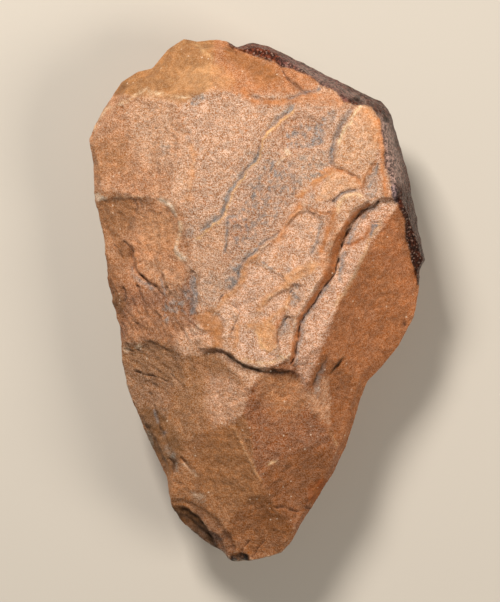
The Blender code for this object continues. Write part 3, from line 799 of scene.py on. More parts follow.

# Colour that follows neither a scar nor a bed: patina, and in places painted light and shade. Later coats lie
# over earlier ones.
COATS = (
    Coat("lower bed, duller", "c39a78", 0.6, 0.8, Patch((
        (196, 100, 6), (262, 100, 6), (262, 136, 2), (262, 158, 2), (232, 190, 2), (225, 212, 2),
        (186, 245, 3), (185, 200, 4), (194, 150, 4)))),
    # Paler pink left of seam one: partly the bed's own pink, partly painted sheen.
    Coat("pink ground with painted sheen left of seam one", "dfb493", 0.7, 0.8, Patch((
        (200, 104, 6), (262, 108, 4), (258, 130, 3), (236, 160, 5), (200, 165, 6)))),
    Coat("dull middle bed", "b98f6f", 0.65, 0.8, Patch((
        (262, 160, 2), (272, 152, 3), (284, 160, 3), (296, 168, 4), (300, 190, 4), (288, 212, 3),
        (266, 238, 3), (240, 258, 3), (225, 262, 3), (226, 220, 2), (236, 196, 2), (252, 172, 2)))),
    Coat("rusty ground by the pit", "c89468", 0.6, 0.8, Patch((
        (270, 132, 3), (296, 110, 3), (330, 104, 3), (330, 128, 3), (322, 150, 3), (290, 158, 3),
        (272, 156, 3)))),
    Coat("plate by the skin", "dbae86", 0.8, 0.65, Patch((
        (361, 108, 1), (350, 121, 1), (340, 139, 1), (333, 158, 1), (333, 170, 1), (350, 175, 1),
        (360, 186, 1), (371, 166, 1), (377, 150, 1.5), (377, 128, 2), (368, 107, 2)))),
    Coat("top of the plate", "dd9f68", 0.7, 0.4, Patch((
        (358, 112, 2), (369, 108, 1.5), (377, 128, 1.5), (379, 150, 1.5), (372, 152, 2.5), (366, 128, 4)))),
    Coat("lower plate", "e3b48c", 0.8, 0.5, Patch((
        (333, 171, 1), (357, 182, 1), (357, 190, 1), (340, 192, 1), (328, 202, 1.5), (314, 203, 1.5),
        (324, 182, 1.5)))),
    Coat("strip", "c98248", 0.85, 0.3, Trace(1.2, (
        (377, 118), (380, 136), (381, 155), (381, 172), (382, 186), (386, 204)))),
    Coat("upper pink floor", "dbb294", 0.9, 0.75, Patch((
        (285, 228, 1), (290, 221, 1), (306, 212, 1), (321, 220, 1), (318, 238, 1), (311, 257, 1.5),
        (297, 266, 1), (285, 271, 1), (265, 265, 1), (259, 258, 1), (276, 239, 1)))),
    Coat("left pink floor", "d9af92", 0.85, 0.75, Patch((
        (248, 263, 1), (264, 268, 1), (281, 274, 1), (284, 284, 1.5), (262, 302, 1.5), (250, 321, 1.5),
        (240, 325, 1), (238, 308, 1), (230, 300, 1), (240, 286, 1)))),
    Coat("middle pink floor", "d4a98b", 0.85, 0.75, Patch((
        (286, 289, 1), (288, 299, 1), (272, 317, 1), (259, 320, 1), (262, 307, 1)))),
    Coat("right pink floor", "d8ad8d", 0.8, 0.75, Patch((
        (320, 264, 2), (326, 268, 1.5), (316, 288, 1.5), (303, 309, 1.5), (296, 328, 1.5),
        (289, 354, 1.5), (282, 352, 1), (292, 325, 1), (297, 305, 1.5), (304, 285, 1.5)))),
    Coat("low floor", "d3a98c", 0.8, 0.8, Patch((
        (239, 328, 1), (252, 330, 1), (262, 348, 1), (285, 359, 1), (262, 362, 1), (238, 353, 1)))),
    Coat("pink strip below the ledge", "dbab8b", 0.8, 0.8, Patch((
        (380, 205, 1), (392, 207, 2), (381, 219, 1), (374, 232, 1), (366, 250, 1), (356, 270, 1),
        (345, 290, 1), (338, 300, 1), (331, 316, 1), (327, 335, 1.5), (318, 354, 1.5), (310, 375, 2),
        (302, 390, 4), (296, 372, 2), (300, 330, 1.5), (318, 293, 1.5), (338, 270, 1.5), (343, 240, 1.5),
        (360, 215, 1)))),
    Coat("right side of the high plate", "bb7f4e", 0.8, 0.3, Patch((
        (326, 222, 1.5), (332, 232, 2), (326, 252, 2), (318, 262, 2), (322, 280, 1.5), (311, 298, 1.5),
        (300, 318, 1.5), (295, 335, 1.5), (290, 362, 1), (294, 352, 1), (299, 330, 1), (312, 303, 1),
        (331, 278, 1), (338, 252, 1), (349, 225, 1), (340, 225, 1.5), (334, 222, 1.5)))),
    Coat("side wall of the ledge", "b8713a", 0.9, 0.25, Patch((
        (366, 204, 1), (371, 206, 0.8), (358, 214, 0.8), (348, 228, 0.8), (340, 248, 0.8),
        (336, 266, 0.8), (331, 277, 0.8), (322, 288, 0.8), (310, 306, 1), (301, 322, 1), (297, 350, 1),
        (291, 366, 1), (288, 358, 1.2), (293, 335, 1.2), (299, 315, 1.2), (311, 297, 1.2),
        (322, 278, 1.5), (329, 258, 2), (334, 240, 2), (344, 221, 1.2), (356, 210, 1)))),
    Coat("narrow ridge", "cfa37f", 0.85, 0.7, Patch((
        (343, 197, 1), (356, 196, 1), (367, 201, 1), (352, 214, 1), (343, 226, 1.2), (336, 232, 1.5),
        (336, 216, 1), (338, 205, 1)))),
    Coat("left flank of the narrow ridge", "bd7b45", 0.85, 0.2, Trace(1.2, (
        (334, 206), (332, 216), (329, 226), (325, 236), (322, 248), (317, 258)))),
    Coat("orange ledge", "cb8a54", 0.85, 0.25, Trace(1.2, (
        (305, 204), (299, 208), (292, 217), (287, 225), (283, 233), (277, 240), (270, 244)))),
    Coat("orange lip of ledge three", "c68d57", 0.8, 0.3, Trace(1.1, (
        (260, 253), (253, 258), (247, 264), (244, 273), (242, 281), (237, 289), (229, 294), (224, 300),
        (222, 306), (214, 310), (204, 312)))),
    Coat("saddle", "d29d6d", 0.75, 0.3, Patch((
        (316, 260, 1.5), (318, 266, 1.5), (308, 276, 1.5), (294, 282, 1.5), (286, 290, 1.5),
        (284, 284, 1.5), (282, 275, 1), (290, 272, 1), (297, 266, 1), (306, 263, 1)))),
    Coat("orange band", "c99361", 0.8, 0.3, Trace(1.2, (
        (288, 282), (280, 289), (272, 294), (265, 299), (260, 306), (257, 314)))),
    Coat("second orange band", "c99361", 0.8, 0.3, Trace(1.1, (
        (292, 291), (289, 298), (284, 307), (276, 315), (266, 321), (254, 325), (244, 326)))),
    Coat("boss", "d29c68", 0.8, 0.4, Patch((
        (254, 328, 0.8), (262, 322, 1.5), (272, 322, 1.5), (277, 329, 1), (276, 346, 1), (271, 352, 1),
        (263, 346, 0.8)))),
    Coat("ridge in the low floor", "cc9463", 0.8, 0.3, Trace(0.8, (
        (237, 322), (238, 333), (236, 343), (234, 351)))),
    Coat("rusty edge of the boss", "b06c38", 0.7, 0.3, Trace(0.9, (
        (283, 308), (281, 318), (277, 326), (275, 336), (276, 346)))),
    Coat("blobs", "cd8f58", 0.85, 0.2, Patch((
        (320, 171, 1), (332, 170, 1), (332, 178, 1), (322, 181, 1), (313, 190, 1), (310, 185, 1)))),
    Coat("second blobs", "c98b55", 0.85, 0.2, Patch((
        (294, 198, 1), (303, 190, 1), (309, 191, 1), (302, 200, 1)))),
    Coat("orange line of the plate", "c07d48", 0.75, 0.2, Trace(0.7, (
        (331, 168), (334, 171), (342, 173), (351, 177), (357, 181), (360, 187), (366, 174), (371, 167),
        (374, 160)))),
    Coat("orange line over the upper pink floor", "c88550", 0.7, 0.3, Trace(0.8, (
        (306, 208), (314, 212), (323, 215), (330, 214)))),
    Coat("orange below the butt", "cc9060", 0.8, 0.5, Patch((
        (262, 101, 2), (290, 103, 2), (318, 95, 2), (340, 99, 2), (345, 107, 2), (330, 108, 2.5),
        (296, 106, 2), (262, 108, 2)))),
    Coat("butt crease", "c07c44", 0.75, 0.2, Trace(1.4, (
        (241, 89), (246, 97), (253, 103), (264, 105), (278, 104), (292, 101), (305, 98), (318, 94)))),
    Coat("reddish plate", "b9865f", 0.45, 0.7, Patch((
        (229, 221, 1), (240, 219, 1), (247, 223, 1), (245, 234, 1.2), (236, 242, 1.5), (229, 242, 1)))),
    Coat("rust round the reddish plate", "b97846", 0.6, 0.4, Trace(0.6, (
        (229, 222), (239, 220), (246, 223), (245, 232), (239, 236), (231, 240)))),
    # A pale orange painted highlight along the soft ridge left of the beds.
    Coat("soft ridge left of the beds", "e3a874", 0.6, 0.3, Trace(1.3, (
        (184, 132), (190, 142), (194, 156), (193, 176), (190, 196), (189, 206)))),
    Coat("darker side of the butt", "94602f", 0.75, 0.2, Patch((
        (224, 46, 2), (246, 56, 2), (274, 68, 2), (280, 82, 4), (262, 88, 5), (242, 72, 5), (226, 60, 4)))),
    Coat("crest of the butt", "d0a172", 0.6, 0.2, Patch((
        (180, 74, 4), (196, 66, 4), (214, 64, 4), (236, 82, 5), (228, 92, 5), (198, 92, 5), (172, 92, 4)))),
    Coat("lit hollow", "dcb08a", 0.7, 0.75, Patch((
        (128, 110, 5), (150, 96, 3), (178, 104, 4), (178, 140, 5), (168, 170, 6), (150, 170, 5),
        (132, 150, 6)))),
    Coat("grey spots of the hollow", "a39a94", 0.7, 0.6, Patch((
        (162, 144, 3), (170, 146, 2), (170, 160, 2), (163, 158, 2))), 0.7),
    Coat("groove of the hollow", "b07a4b", 0.6, 0.4, Trace(1.0, ((153, 146), (155, 160), (155, 176)))),
    # Painted shade in the chips by the butt.
    Coat("painted shade in the first chips by the butt", "6f4a2c", 0.6, 0.2, Patch((
        (100, 110, 1), (104, 101, 1), (111, 97, 1), (109, 106, 1), (103, 114, 1)))),
    # Painted shade in the second chips by the butt.
    Coat("painted shade in the second chips by the butt", "76502f", 0.6, 0.2, Patch((
        (115, 93, 1), (121, 85, 1), (128, 81, 1), (126, 88, 1), (118, 97, 1)))),
    Coat("cream dots of the butt", "f2d9a8", 0.8, 0.3, Trace(0.7, ((168, 81), (172, 82)))),
    Coat("cream ridge of the butt", "e2bd8c", 0.6, 0.3, Trace(0.6, (
        (194, 43), (201, 51), (209, 56), (216, 62))), 0.3),
    Coat("brown of the shoulder", "a97645", 0.75, 0.4, Patch((
        (92, 140, 8), (128, 140, 8), (132, 175, 8), (94, 180, 8)))),
    Coat("dark waist scars", "a67447", 0.75, 0.35, Patch((
        (92, 200, 1), (134, 200, 1), (137, 209, 1), (131, 226, 2), (118, 240, 5), (96, 245, 5)))),
    Coat("lit waist scar", "cf9c70", 0.6, 0.4, Patch((
        (140, 215, 6), (165, 212, 4), (178, 230, 2), (172, 250, 4), (145, 248, 6)))),
    Coat("dark broken ground", "8f5f34", 0.7, 0.35, Patch((
        (100, 255, 4), (120, 262, 4), (126, 285, 5), (124, 320, 5), (108, 330, 4), (104, 290, 3)))),
    # Painted shadow of the crevice's raised side on the ground left of it.
    Coat("painted shadow left of the crevice", "87592f", 0.7, 0.3, Patch((
        (116, 240, 1.5), (123, 241, 1), (131, 249, 1), (134, 260, 1), (128, 264, 2), (118, 256, 2)))),
    Coat("shaded chip of the side", "7d5631", 0.7, 0.3, Patch((
        (111, 296, 1), (124, 293, 1), (126, 304, 1), (122, 312, 1.5), (112, 306, 1)))),
    Coat("lit broken ground", "b68b66", 0.6, 0.5, Patch((
        (142, 258, 4), (170, 262, 4), (184, 280, 3), (182, 305, 4), (172, 300, 3), (155, 282, 2),
        (144, 272, 2)))),
    Coat("foot of the broken ground", "b07c50", 0.6, 0.4, Patch((
        (130, 310, 5), (180, 305, 5), (190, 330, 4), (176, 348, 3), (145, 338, 3), (124, 342, 3)))),
    Coat("dark lower waist scar", "9c7045", 0.6, 0.4, Patch((
        (113, 350, 1), (135, 350, 1), (150, 342, 1), (172, 352, 1), (178, 362, 1.5), (185, 384, 3),
        (165, 380, 2), (150, 374, 1.5), (133, 370, 1.5), (116, 368, 2)))),
    # Painted shade on the band below the ridge of the lower waist, which faces down.
    Coat("painted shade below the ridge of the lower waist", "6e4a28", 0.6, 0.3, Trace(1.0, (
        (147, 343), (156, 345), (162, 348)))),
    Coat("pale side of the broken ground", "c69d7c", 0.7, 0.7, Patch((
        (185, 250, 4), (222, 250, 5), (226, 292, 3), (219, 308, 2), (200, 311, 2), (199, 280, 1.5),
        (186, 268, 3)))),
    Coat("brown hollow", "b37c4c", 0.85, 0.2, Patch((
        (192, 315, 2), (208, 313, 2), (219, 316, 1.5), (226, 330, 1.5), (223, 346, 1.5), (214, 349, 1.5),
        (210, 336, 2), (202, 326, 2)))),
    Coat("pale ground under the hollow", "d8ab87", 0.8, 0.7, Patch((
        (186, 330, 2), (196, 322, 2), (206, 331, 1.5), (212, 338, 1.5), (213, 350, 1.5), (198, 355, 1.5),
        (186, 354, 3), (174, 348, 3), (176, 338, 4)))),
    Coat("pink lobe", "dcb496", 0.85, 0.8, Patch((
        (219, 313, 1), (226, 305, 1), (232, 304, 0.8), (239, 314, 0.8), (233, 326, 1), (228, 337, 1),
        (222, 336, 1.2), (225, 326, 1.2)))),
    Coat("foot of the plate, lit", "c78c57", 0.7, 0.45, Patch((
        (258, 373, 2), (292, 373, 1.5), (303, 383, 1.5), (308, 400, 4), (298, 412, 5), (272, 412, 8),
        (258, 394, 6)))),
    # Painted shadow under the foot of the plate.
    Coat("painted shadow under the plate", "5f3a20", 0.65, 0.3, Trace(1.2, (
        (210, 349), (220, 352), (230, 359), (240, 365), (252, 369), (270, 372), (290, 373)))),
    # Painted light: the upper part of the facet is made paler.
    Coat("painted light on the upper part of the facet", "c97e42", 0.7, 0.45, Patch((
        (386, 214, 3), (394, 222, 2), (404, 250, 1), (420, 292, 1), (418, 318, 1), (402, 306, 6),
        (392, 280, 8), (366, 258, 3)))),
    # Painted light on the flank of the lower left that faces up.
    Coat("painted light on the flank of the lower left", "dcaa84", 0.7, 0.7, Patch((
        (208, 376, 5), (228, 374, 6), (250, 390, 2), (243, 413, 1.2), (233, 423, 1.2), (216, 425, 4),
        (206, 402, 5)))),
    Coat("dark edge of the lower left", "6e4b27", 0.75, 0.2, Patch((
        (140, 408, 4), (158, 408, 3), (172, 424, 4), (184, 448, 4), (172, 472, 3), (150, 446, 3)))),
    Coat("dull brown above the tip", "9b6a3c", 0.7, 0.3, Patch((
        (233, 424, 1), (238, 436, 1), (245, 448, 1), (251, 461, 1), (262, 481, 1.2),
        (272, 498, 4), (240, 505, 8), (205, 490, 8), (195, 452, 6), (212, 434, 4)))),
    Coat("darker foot of the lower right", "7b4a1a", 0.6, 0.25, Patch((
        (262, 470, 6), (300, 448, 8), (332, 444, 5), (334, 462, 3), (318, 500, 4), (290, 526, 6),
        (256, 530, 6), (262, 500, 5)))),
    Coat("pale ground by the notch", "d8a47a", 0.7, 0.6, Patch((
        (304, 392, 2), (313, 388, 2), (320, 378, 3), (327, 378, 3), (330, 400, 0.8), (329, 424, 0.8),
        (324, 421, 2), (314, 412, 3), (306, 404, 3)))),
    Coat("grey side of the facet ledge", "7f7f82", 0.65, 0.4, Patch((
        (313, 388, 0.8), (316, 374, 0.8), (322, 362, 0.8), (327, 356, 0.8), (325, 366, 1), (320, 378, 1),
        (320, 392, 1.2), (316, 398, 1))), 0.4),
    # Painted shade in the notch of the facet.
    Coat("painted shade in the notch of the facet", "2c1c10", 0.85, 0.1, Trace(0.5, (
        (328, 375), (333, 368), (338, 363), (344, 355)))),
    # Painted shadow at the foot of the facet ledge.
    Coat("painted shadow at the foot of the facet ledge", "3a2a1c", 0.7, 0.1, Trace(0.4, (
        (312, 387), (315, 379), (319, 369), (323, 361), (326, 355)))),
    # Painted shadow line under the plate.
    Coat("painted shadow line under the plate", "2a1c12", 0.8, 0.1, Trace(0.5, (
        (226, 353), (238, 362), (245, 366), (253, 368), (262, 370), (280, 371), (290, 370)))),
    Coat("pits of the plate", "7f828a", 0.9, 0.3, Trace(0.7, ((352, 140), (354, 143)))),
    Coat("second pit of the plate", "7f828a", 0.8, 0.3, Trace(0.7, ((372, 151), (374, 153)))),
    Coat("white dot by the notch", "fbeeda", 0.95, 0.2, Trace(0.7, ((327, 427), (329, 428)))),
    Coat("pale line below the notch", "d9ab7c", 0.6, 0.4, Trace(0.5, (
        (329, 430), (333, 437), (337, 446))), 0.4),
    Coat("pale ridge above the tip", "d9a878", 0.6, 0.4, Trace(0.5, (
        (233, 424), (238, 436), (245, 448), (251, 461), (256, 472), (262, 481)))),
    # The slope left of the tip is darkened as painted shade.
    Coat("slope left of the tip", "80583a", 0.7, 0.35, Patch((
        (190, 502, 1.5), (203, 510, 1.2), (213, 518, 1.2), (223, 528, 1.2), (232, 540, 1.2),
        (236, 551, 1), (228, 556, 1), (217, 545, 1), (210, 533, 1), (203, 522, 1), (194, 513, 1)))),
    # The scars left of the tip are made near black as painted shade.
    Coat("scars left of the tip", "46311f", 0.9, 0.05, Patch((
        (170, 506, 1), (181, 507, 0.8), (188, 508, 0.8), (196, 515, 0.8), (204, 523, 0.8),
        (211, 534, 0.8), (217, 545, 0.8), (222, 552, 0.8), (214, 556, 1.2), (200, 548, 1.2),
        (180, 528, 1.2), (168, 516, 1.2)))),
    Coat("brown shelf left of the tip", "7a563a", 0.7, 0.35, Patch((
        (184, 522, 1.2), (194, 526, 1.2), (205, 536, 1.2), (212, 546, 1.2), (214, 553, 1.2),
        (203, 548, 1.2), (192, 536, 1.2))), 0.4),
    Coat("pale pit above the tip", "c9b39c", 0.7, 0.5, Patch((
        (191, 492, 1), (200, 492, 1), (207, 498, 1), (203, 502, 1), (194, 498, 1))), 0.5),
    Coat("rusty facet by the tip", "864616", 0.8, 0.1, Patch((
        (309, 484, 1.5), (322, 476, 1.5), (328, 482, 1.5), (322, 496, 1.5), (314, 505, 1.5),
        (308, 498, 1.2)))),
    Coat("cream dots above the tip", "e6cba4", 0.8, 0.3, Trace(0.4, ((267, 462), (271, 460), (277, 460)))),
    # The notch in the tip is made near black as painted shade.
    Coat("notch in the tip", "1f1814", 0.9, 0.2, Patch((
        (230, 555, 0.6), (240, 553, 0.6), (249, 556, 0.6), (249, 566, 0.6), (231, 566, 0.6)))),
    Coat("white ridge of the butt", "ecd3b2", 0.75, 0.5, Trace(0.55, (
        (93, 132), (96, 125), (103, 112), (107, 109), (115, 107), (126, 103), (137, 96), (147, 91),
        (153, 94), (165, 96), (185, 100), (192, 99))), 0.5),
    Coat("worn corner of the waist", "e6d3bd", 0.85, 0.6, Patch((
        (95, 193, 1), (99, 192, 1), (102, 197, 1), (108, 199, 0.8), (106, 201, 0.8), (97, 202, 0.8)))),
    Coat("worn edge of the waist", "dfbf98", 0.5, 0.6, Trace(0.6, (
        (112, 199), (124, 198), (136, 197), (146, 199))), 0.6),
    Coat("worn step of the waist", "f0e2d0", 1.0, 0.4, Trace(0.75, (
        (158, 199), (165, 203), (171, 208), (175, 213), (179, 218)))),
    Coat("worn side of the waist", "e8d0b2", 0.85, 0.5, Trace(0.7, (
        (179, 220), (181, 226), (180, 232), (179, 240), (176, 247), (176, 253), (181, 258), (187, 262)))),
    Coat("worn spots of the waist", "e8d8c6", 0.8, 0.6, Patch((
        (174, 248, 1), (178, 247, 1), (180, 252, 1), (187, 256, 1), (187, 262, 1), (180, 257, 1)))),
    Coat("worn edge of the lower waist", "e2cdb4", 0.8, 0.6, Trace(0.7, (
        (122, 348), (127, 350), (131, 349)))),
    Coat("second worn edge of the lower waist", "e2cdb4", 0.8, 0.6, Trace(0.7, (
        (135, 350), (139, 347), (143, 345)))),
    Coat("white scars by the pit", "f3e0ca", 0.85, 0.4, Patch((
        (284, 151, 0.7), (288, 150, 0.7), (290, 156, 0.7), (286, 158, 0.7)))),
    Coat("white line by the pit", "f0dcc4", 0.7, 0.4, Trace(0.5, ((285, 158), (280, 163), (276, 168)))),
    # Painted highlight along the lower lip of the plate.
    Coat("painted highlight on the lower edge of the plate", "f0d0a6", 0.75, 0.5, Trace(0.6, (
        (240, 357), (249, 361), (258, 362), (270, 361), (281, 359), (288, 357))), 0.3),
    # Painted highlight on the corner of that lip.
    Coat("painted highlight on the corner of the plate", "f2dcc0", 0.7, 0.5, Trace(0.9, (
        (278, 352), (282, 358), (288, 357))), 0.3),
    Coat("cream edge of the boss", "f0c898", 0.6, 0.3, Trace(0.6, (
        (254, 329), (259, 339), (264, 347), (270, 352)))),
    Coat("pale lip of the facet", "e2bd93", 0.6, 0.4, Trace(0.7, (
        (381, 218), (374, 231), (367, 243), (364, 253), (357, 265), (351, 278), (346, 288), (338, 298),
        (332, 308)))),
    # Painted highlight on the lip of the plate, which faces the light.
    Coat("painted highlight on the lip of the plate", "f0e0bd", 0.85, 0.3, Trace(0.45, (
        (361, 108), (355, 114), (350, 121), (345, 130), (340, 139), (336, 148)))),
    # Painted highlight on the lip of the narrow ridge.
    Coat("painted highlight on the lip of the narrow ridge", "f2d6b0", 0.85, 0.3, Trace(0.75, (
        (336, 216), (337, 208), (340, 201), (345, 197), (354, 196), (362, 198)))),
    # Painted highlight on the lip of ledge one, which faces the light.
    Coat("painted highlight on the lip of ledge one", "e8bd84", 0.9, 0.2, Trace(0.36, (
        (294, 112), (288, 118), (281, 122), (275, 128), (268, 135), (263, 142), (262, 152), (260, 160),
        (254, 167), (247, 172), (243, 179), (238, 187), (233, 195), (229, 203), (227, 211), (226, 216),
        (221, 221), (214, 226), (209, 231), (204, 235), (196, 240)))),
    Coat("cross ledge", "ab6834", 0.9, 0.2, Trace(1.2, (
        (342, 247), (350, 244), (357, 241), (363, 238), (367, 232), (368, 225)))),
    Coat("dull right of seam one", "a79080", 0.7, 0.7, Patch((
        (262, 150, 2), (276, 158, 2), (275, 178, 2), (268, 196, 2), (254, 200, 2), (246, 190, 2),
        (254, 172, 1.5))), 0.8),
    Coat("blue flecks of the middle bed", "7d7f86", 0.7, 0.4, Patch((
        (266, 160, 3), (290, 164, 4), (302, 186, 3), (288, 206, 3), (266, 232, 3), (244, 250, 3),
        (232, 246, 3), (232, 222, 3), (248, 194, 3))), 1.0),
    Coat("mottled pit", "8b8b91", 0.8, 0.6, Patch((
        (280, 138, 1.5), (296, 128, 2), (312, 124, 2), (324, 126, 1.5), (323, 146, 1), (306, 151, 1),
        (288, 150, 1))), 0.9),
    Coat("blue of the pit", "85878e", 0.8, 0.5, Patch((
        (313, 129, 1.5), (320, 128, 1), (323, 136, 1), (321, 146, 1), (312, 149, 1),
        (311, 140, 1.5))), 0.4),
    Coat("blue above the pit", "8b8c92", 0.75, 0.5, Patch((
        (320, 122, 1.5), (330, 112, 1.5), (337, 112, 1), (332, 127, 1), (326, 131, 1.5))), 0.5),
    Coat("mottled bed below the pit", "91908f", 0.75, 0.6, Patch((
        (298, 158, 2), (330, 152, 2), (328, 172, 2), (314, 182, 2), (304, 190, 2), (296, 178, 2))), 0.9),
    Coat("blue by the second blobs", "85878e", 0.8, 0.5, Trace(1.2, (
        (310, 191), (311, 198), (313, 203))), 0.4),
    Coat("blue left of ledge three", "88898e", 0.8, 0.5, Patch((
        (252, 248, 2), (258, 251, 1), (247, 259, 1), (242, 266, 0.8), (240, 280, 0.8), (236, 286, 1),
        (225, 290, 1.5), (222, 276, 2), (232, 262, 2))), 0.6),
    Coat("mottled bed by the grey pit", "9c9794", 0.45, 0.6, Patch((
        (200, 285, 2), (212, 272, 2), (222, 280, 2), (222, 298, 1.5), (212, 308, 1.5),
        (200, 306, 1.5))), 0.8),
    Coat("mottled corner of the bed", "8e8d8f", 0.7, 0.6, Patch((
        (184, 232, 1.5), (190, 227, 1.5), (196, 228, 1.5), (194, 237, 1.5), (187, 239, 1.5))), 0.5),
    Coat("blue wash left of seam one", "8f8e90", 0.6, 0.6, Patch((
        (236, 165, 4), (250, 150, 3), (260, 150, 1), (256, 164, 1), (240, 180, 1), (226, 206, 1),
        (220, 212, 3), (226, 190, 4))), 0.85),
    Coat("blue wash at the foot of seam one", "898b91", 0.75, 0.5, Patch((
        (225, 208, 0.8), (224, 217, 0.8), (214, 225, 0.8), (204, 232, 1), (206, 225, 2.5),
        (214, 216, 3))), 0.6),
    Coat("blue of seam one, top", "8c8f94", 0.9, 0.4, Patch((
        (291, 107, 1), (295, 106, 0.8), (293, 112, 0.7), (286, 117, 0.7), (278, 122, 0.7),
        (273, 128, 0.7), (268, 132, 0.8), (268, 128, 1), (274, 120, 1), (282, 114, 1))), 0.25),
    Coat("blue foot of ledge one", "85898f", 0.95, 0.35, Trace(0.68, (
        (260, 147), (258, 156), (254, 164), (248, 170), (243, 175), (239, 180), (234, 187), (229, 195),
        (226, 202), (224, 209), (222, 216), (215, 222), (208, 227), (199, 233))), 0.3),
    Coat("blue floor of the plate trough", "7f828a", 0.9, 0.4, Trace(1.15, (
        (351, 109), (345, 118), (339, 128), (335, 137), (331, 147), (330, 158), (330, 168))), 0.25),
    Coat("blue floor beside the ledge", "7c8088", 0.95, 0.4, Trace(0.95, (
        (380, 203), (375, 208), (368, 212), (361, 218), (355, 226), (350, 235), (346, 246))), 0.35),
    Coat("second blue floor beside the ledge", "7c8088", 0.95, 0.4, Trace(0.95, (
        (346, 250), (342, 259), (340, 269), (339, 278), (341, 285))), 0.2),
    Coat("blue floor below the ledge", "7c8088", 0.9, 0.4, Trace(0.85, (
        (329, 282), (323, 290), (318, 298), (313, 306), (307, 314), (303, 322), (301, 333), (299, 345),
        (296, 356), (294, 366))), 0.35),
    # Painted shadow at the foot of the ledge's wall.
    Coat("painted shadow at the foot of the ledge", "2e2014", 0.8, 0.1, Trace(0.36, (
        (379, 201), (372, 205), (365, 209), (358, 213), (352, 220), (348, 227), (343, 237), (339, 248),
        (337, 258), (335, 267), (333, 274), (325, 284), (315, 299), (304, 315), (299, 324), (297, 340),
        (294, 354), (291, 366))), 0.5),
    Coat("blue triangle", "777c85", 0.95, 0.3, Patch((
        (369, 225, 0.6), (377, 225, 0.6), (372, 232, 0.6), (370, 240, 0.6), (368, 236, 0.6)))),
    Coat("blue floor by the strip", "85878c", 0.85, 0.5, Patch((
        (371, 170, 1), (376, 166, 0.8), (376, 180, 0.8), (374, 198, 0.8), (366, 199, 1), (363, 193, 1),
        (363, 187, 1), (368, 178, 1))), 0.5),
    Coat("blue line by the narrow ridge", "7d828a", 0.95, 0.3, Trace(0.6, (
        (332, 204), (336, 199), (341, 194), (348, 192), (357, 192))), 0.2),
    Coat("blue edge of the upper pink floor", "82848a", 0.9, 0.4, Trace(0.8, (
        (321, 221), (319, 231), (316, 241), (312, 251), (308, 258))), 0.35),
    Coat("blue foot of the upper pink floor", "7c7f87", 0.9, 0.4, Trace(0.5, (
        (260, 262), (266, 266), (273, 270))), 0.1),
    Coat("blue corner of the upper pink floor", "82848a", 0.85, 0.4, Trace(1.1, (
        (283, 270), (289, 270), (293, 267))), 0.2),
    Coat("blue foot of ledge three", "83868c", 0.9, 0.35, Trace(0.7, (
        (278, 233), (271, 239), (264, 242), (258, 249), (251, 255), (245, 260), (241, 267), (239, 277),
        (235, 285), (227, 290))), 0.25),
    Coat("grey wall", "87868a", 0.8, 0.5, Patch((
        (291, 286, 1), (298, 285, 1.5), (300, 296, 2), (296, 306, 2), (290, 306, 0.8))), 0.6),
    Coat("blue of the arched pit", "7f8188", 0.85, 0.4, Patch((
        (282, 321, 0.8), (286, 316, 0.8), (290, 319, 1), (288, 328, 1.5), (283, 335, 1.5),
        (279, 338, 0.8))), 0.3),
    Coat("blue round the reddish plate", "777b83", 0.85, 0.35, Trace(0.6, (
        (240, 218), (234, 217), (229, 219), (227, 227), (227, 237), (225, 247), (223, 256))), 0.25),
    Coat("blue line below the butt", "777b84", 0.85, 0.35, Trace(0.7, (
        (286, 102), (292, 99), (299, 96), (306, 95), (315, 92), (322, 90))), 0.3),
    Coat("blue spot of the butt", "74777e", 0.8, 0.35, Trace(0.9, ((254, 97), (258, 99), (261, 101)))),
    Coat("grey pit by the butt ridge", "8a8b8f", 0.8, 0.5, Patch((
        (192, 100, 1), (204, 96, 1), (206, 101, 1), (196, 108, 1), (191, 107, 1))), 0.5),
    Coat("grey chip of the waist of the butt", "8d888a", 0.7, 0.5, Patch((
        (185, 136, 1), (190, 136, 1), (193, 145, 1), (187, 146, 1))), 0.4),
    Coat("blue of the grey pit", "7a7e86", 0.9, 0.4, Patch((
        (191, 275, 1), (196, 276, 0.8), (198, 284, 0.8), (198, 300, 0.8), (196, 314, 1), (190, 316, 1),
        (192, 302, 1.5))), 0.3),
    Coat("blue flecks left of the grey pit", "83858b", 0.8, 0.5, Patch((
        (183, 283, 1), (188, 286, 1), (192, 300, 1), (188, 302, 1), (184, 292, 1))), 0.7),
    Coat("blue foot of the crevice", "83868c", 0.8, 0.5, Trace(0.8, (
        (131, 266), (133, 274), (138, 279), (148, 286), (156, 290))), 0.5),
    Coat("blue foot of ledge d", "83868c", 0.8, 0.5, Trace(0.6, (
        (161, 275), (163, 283), (165, 292), (166, 297))), 0.4),
    Coat("flecks of the broken ground", "8f8c8c", 0.75, 0.5, Patch((
        (160, 300, 3), (185, 298, 3), (186, 318, 3), (165, 322, 3))), 1.0),
    Coat("blue left crack", "6f747b", 0.8, 0.35, Trace(0.5, ((154, 408), (157, 416), (160, 424)))),
    Coat("blue spot of the left crack", "7f858b", 0.9, 0.35, Trace(0.8, ((164, 429), (165, 436)))),
    Coat("grey side of the edge crack", "84786a", 0.8, 0.35, Patch((
        (145, 428, 0.8), (149, 430, 0.6), (153, 438, 0.6), (154, 448, 0.8), (150, 444, 0.8)))),
    Coat("grey flecks above the nicks", "8d8880", 0.7, 0.5, Trace(1.2, (
        (166, 442), (170, 452), (177, 462), (177, 474))), 0.6),
    Coat("white side of the nicks", "d9c9b4", 0.6, 0.5, Trace(0.7, (
        (184, 460), (188, 467), (194, 472), (198, 476))), 0.6),
)


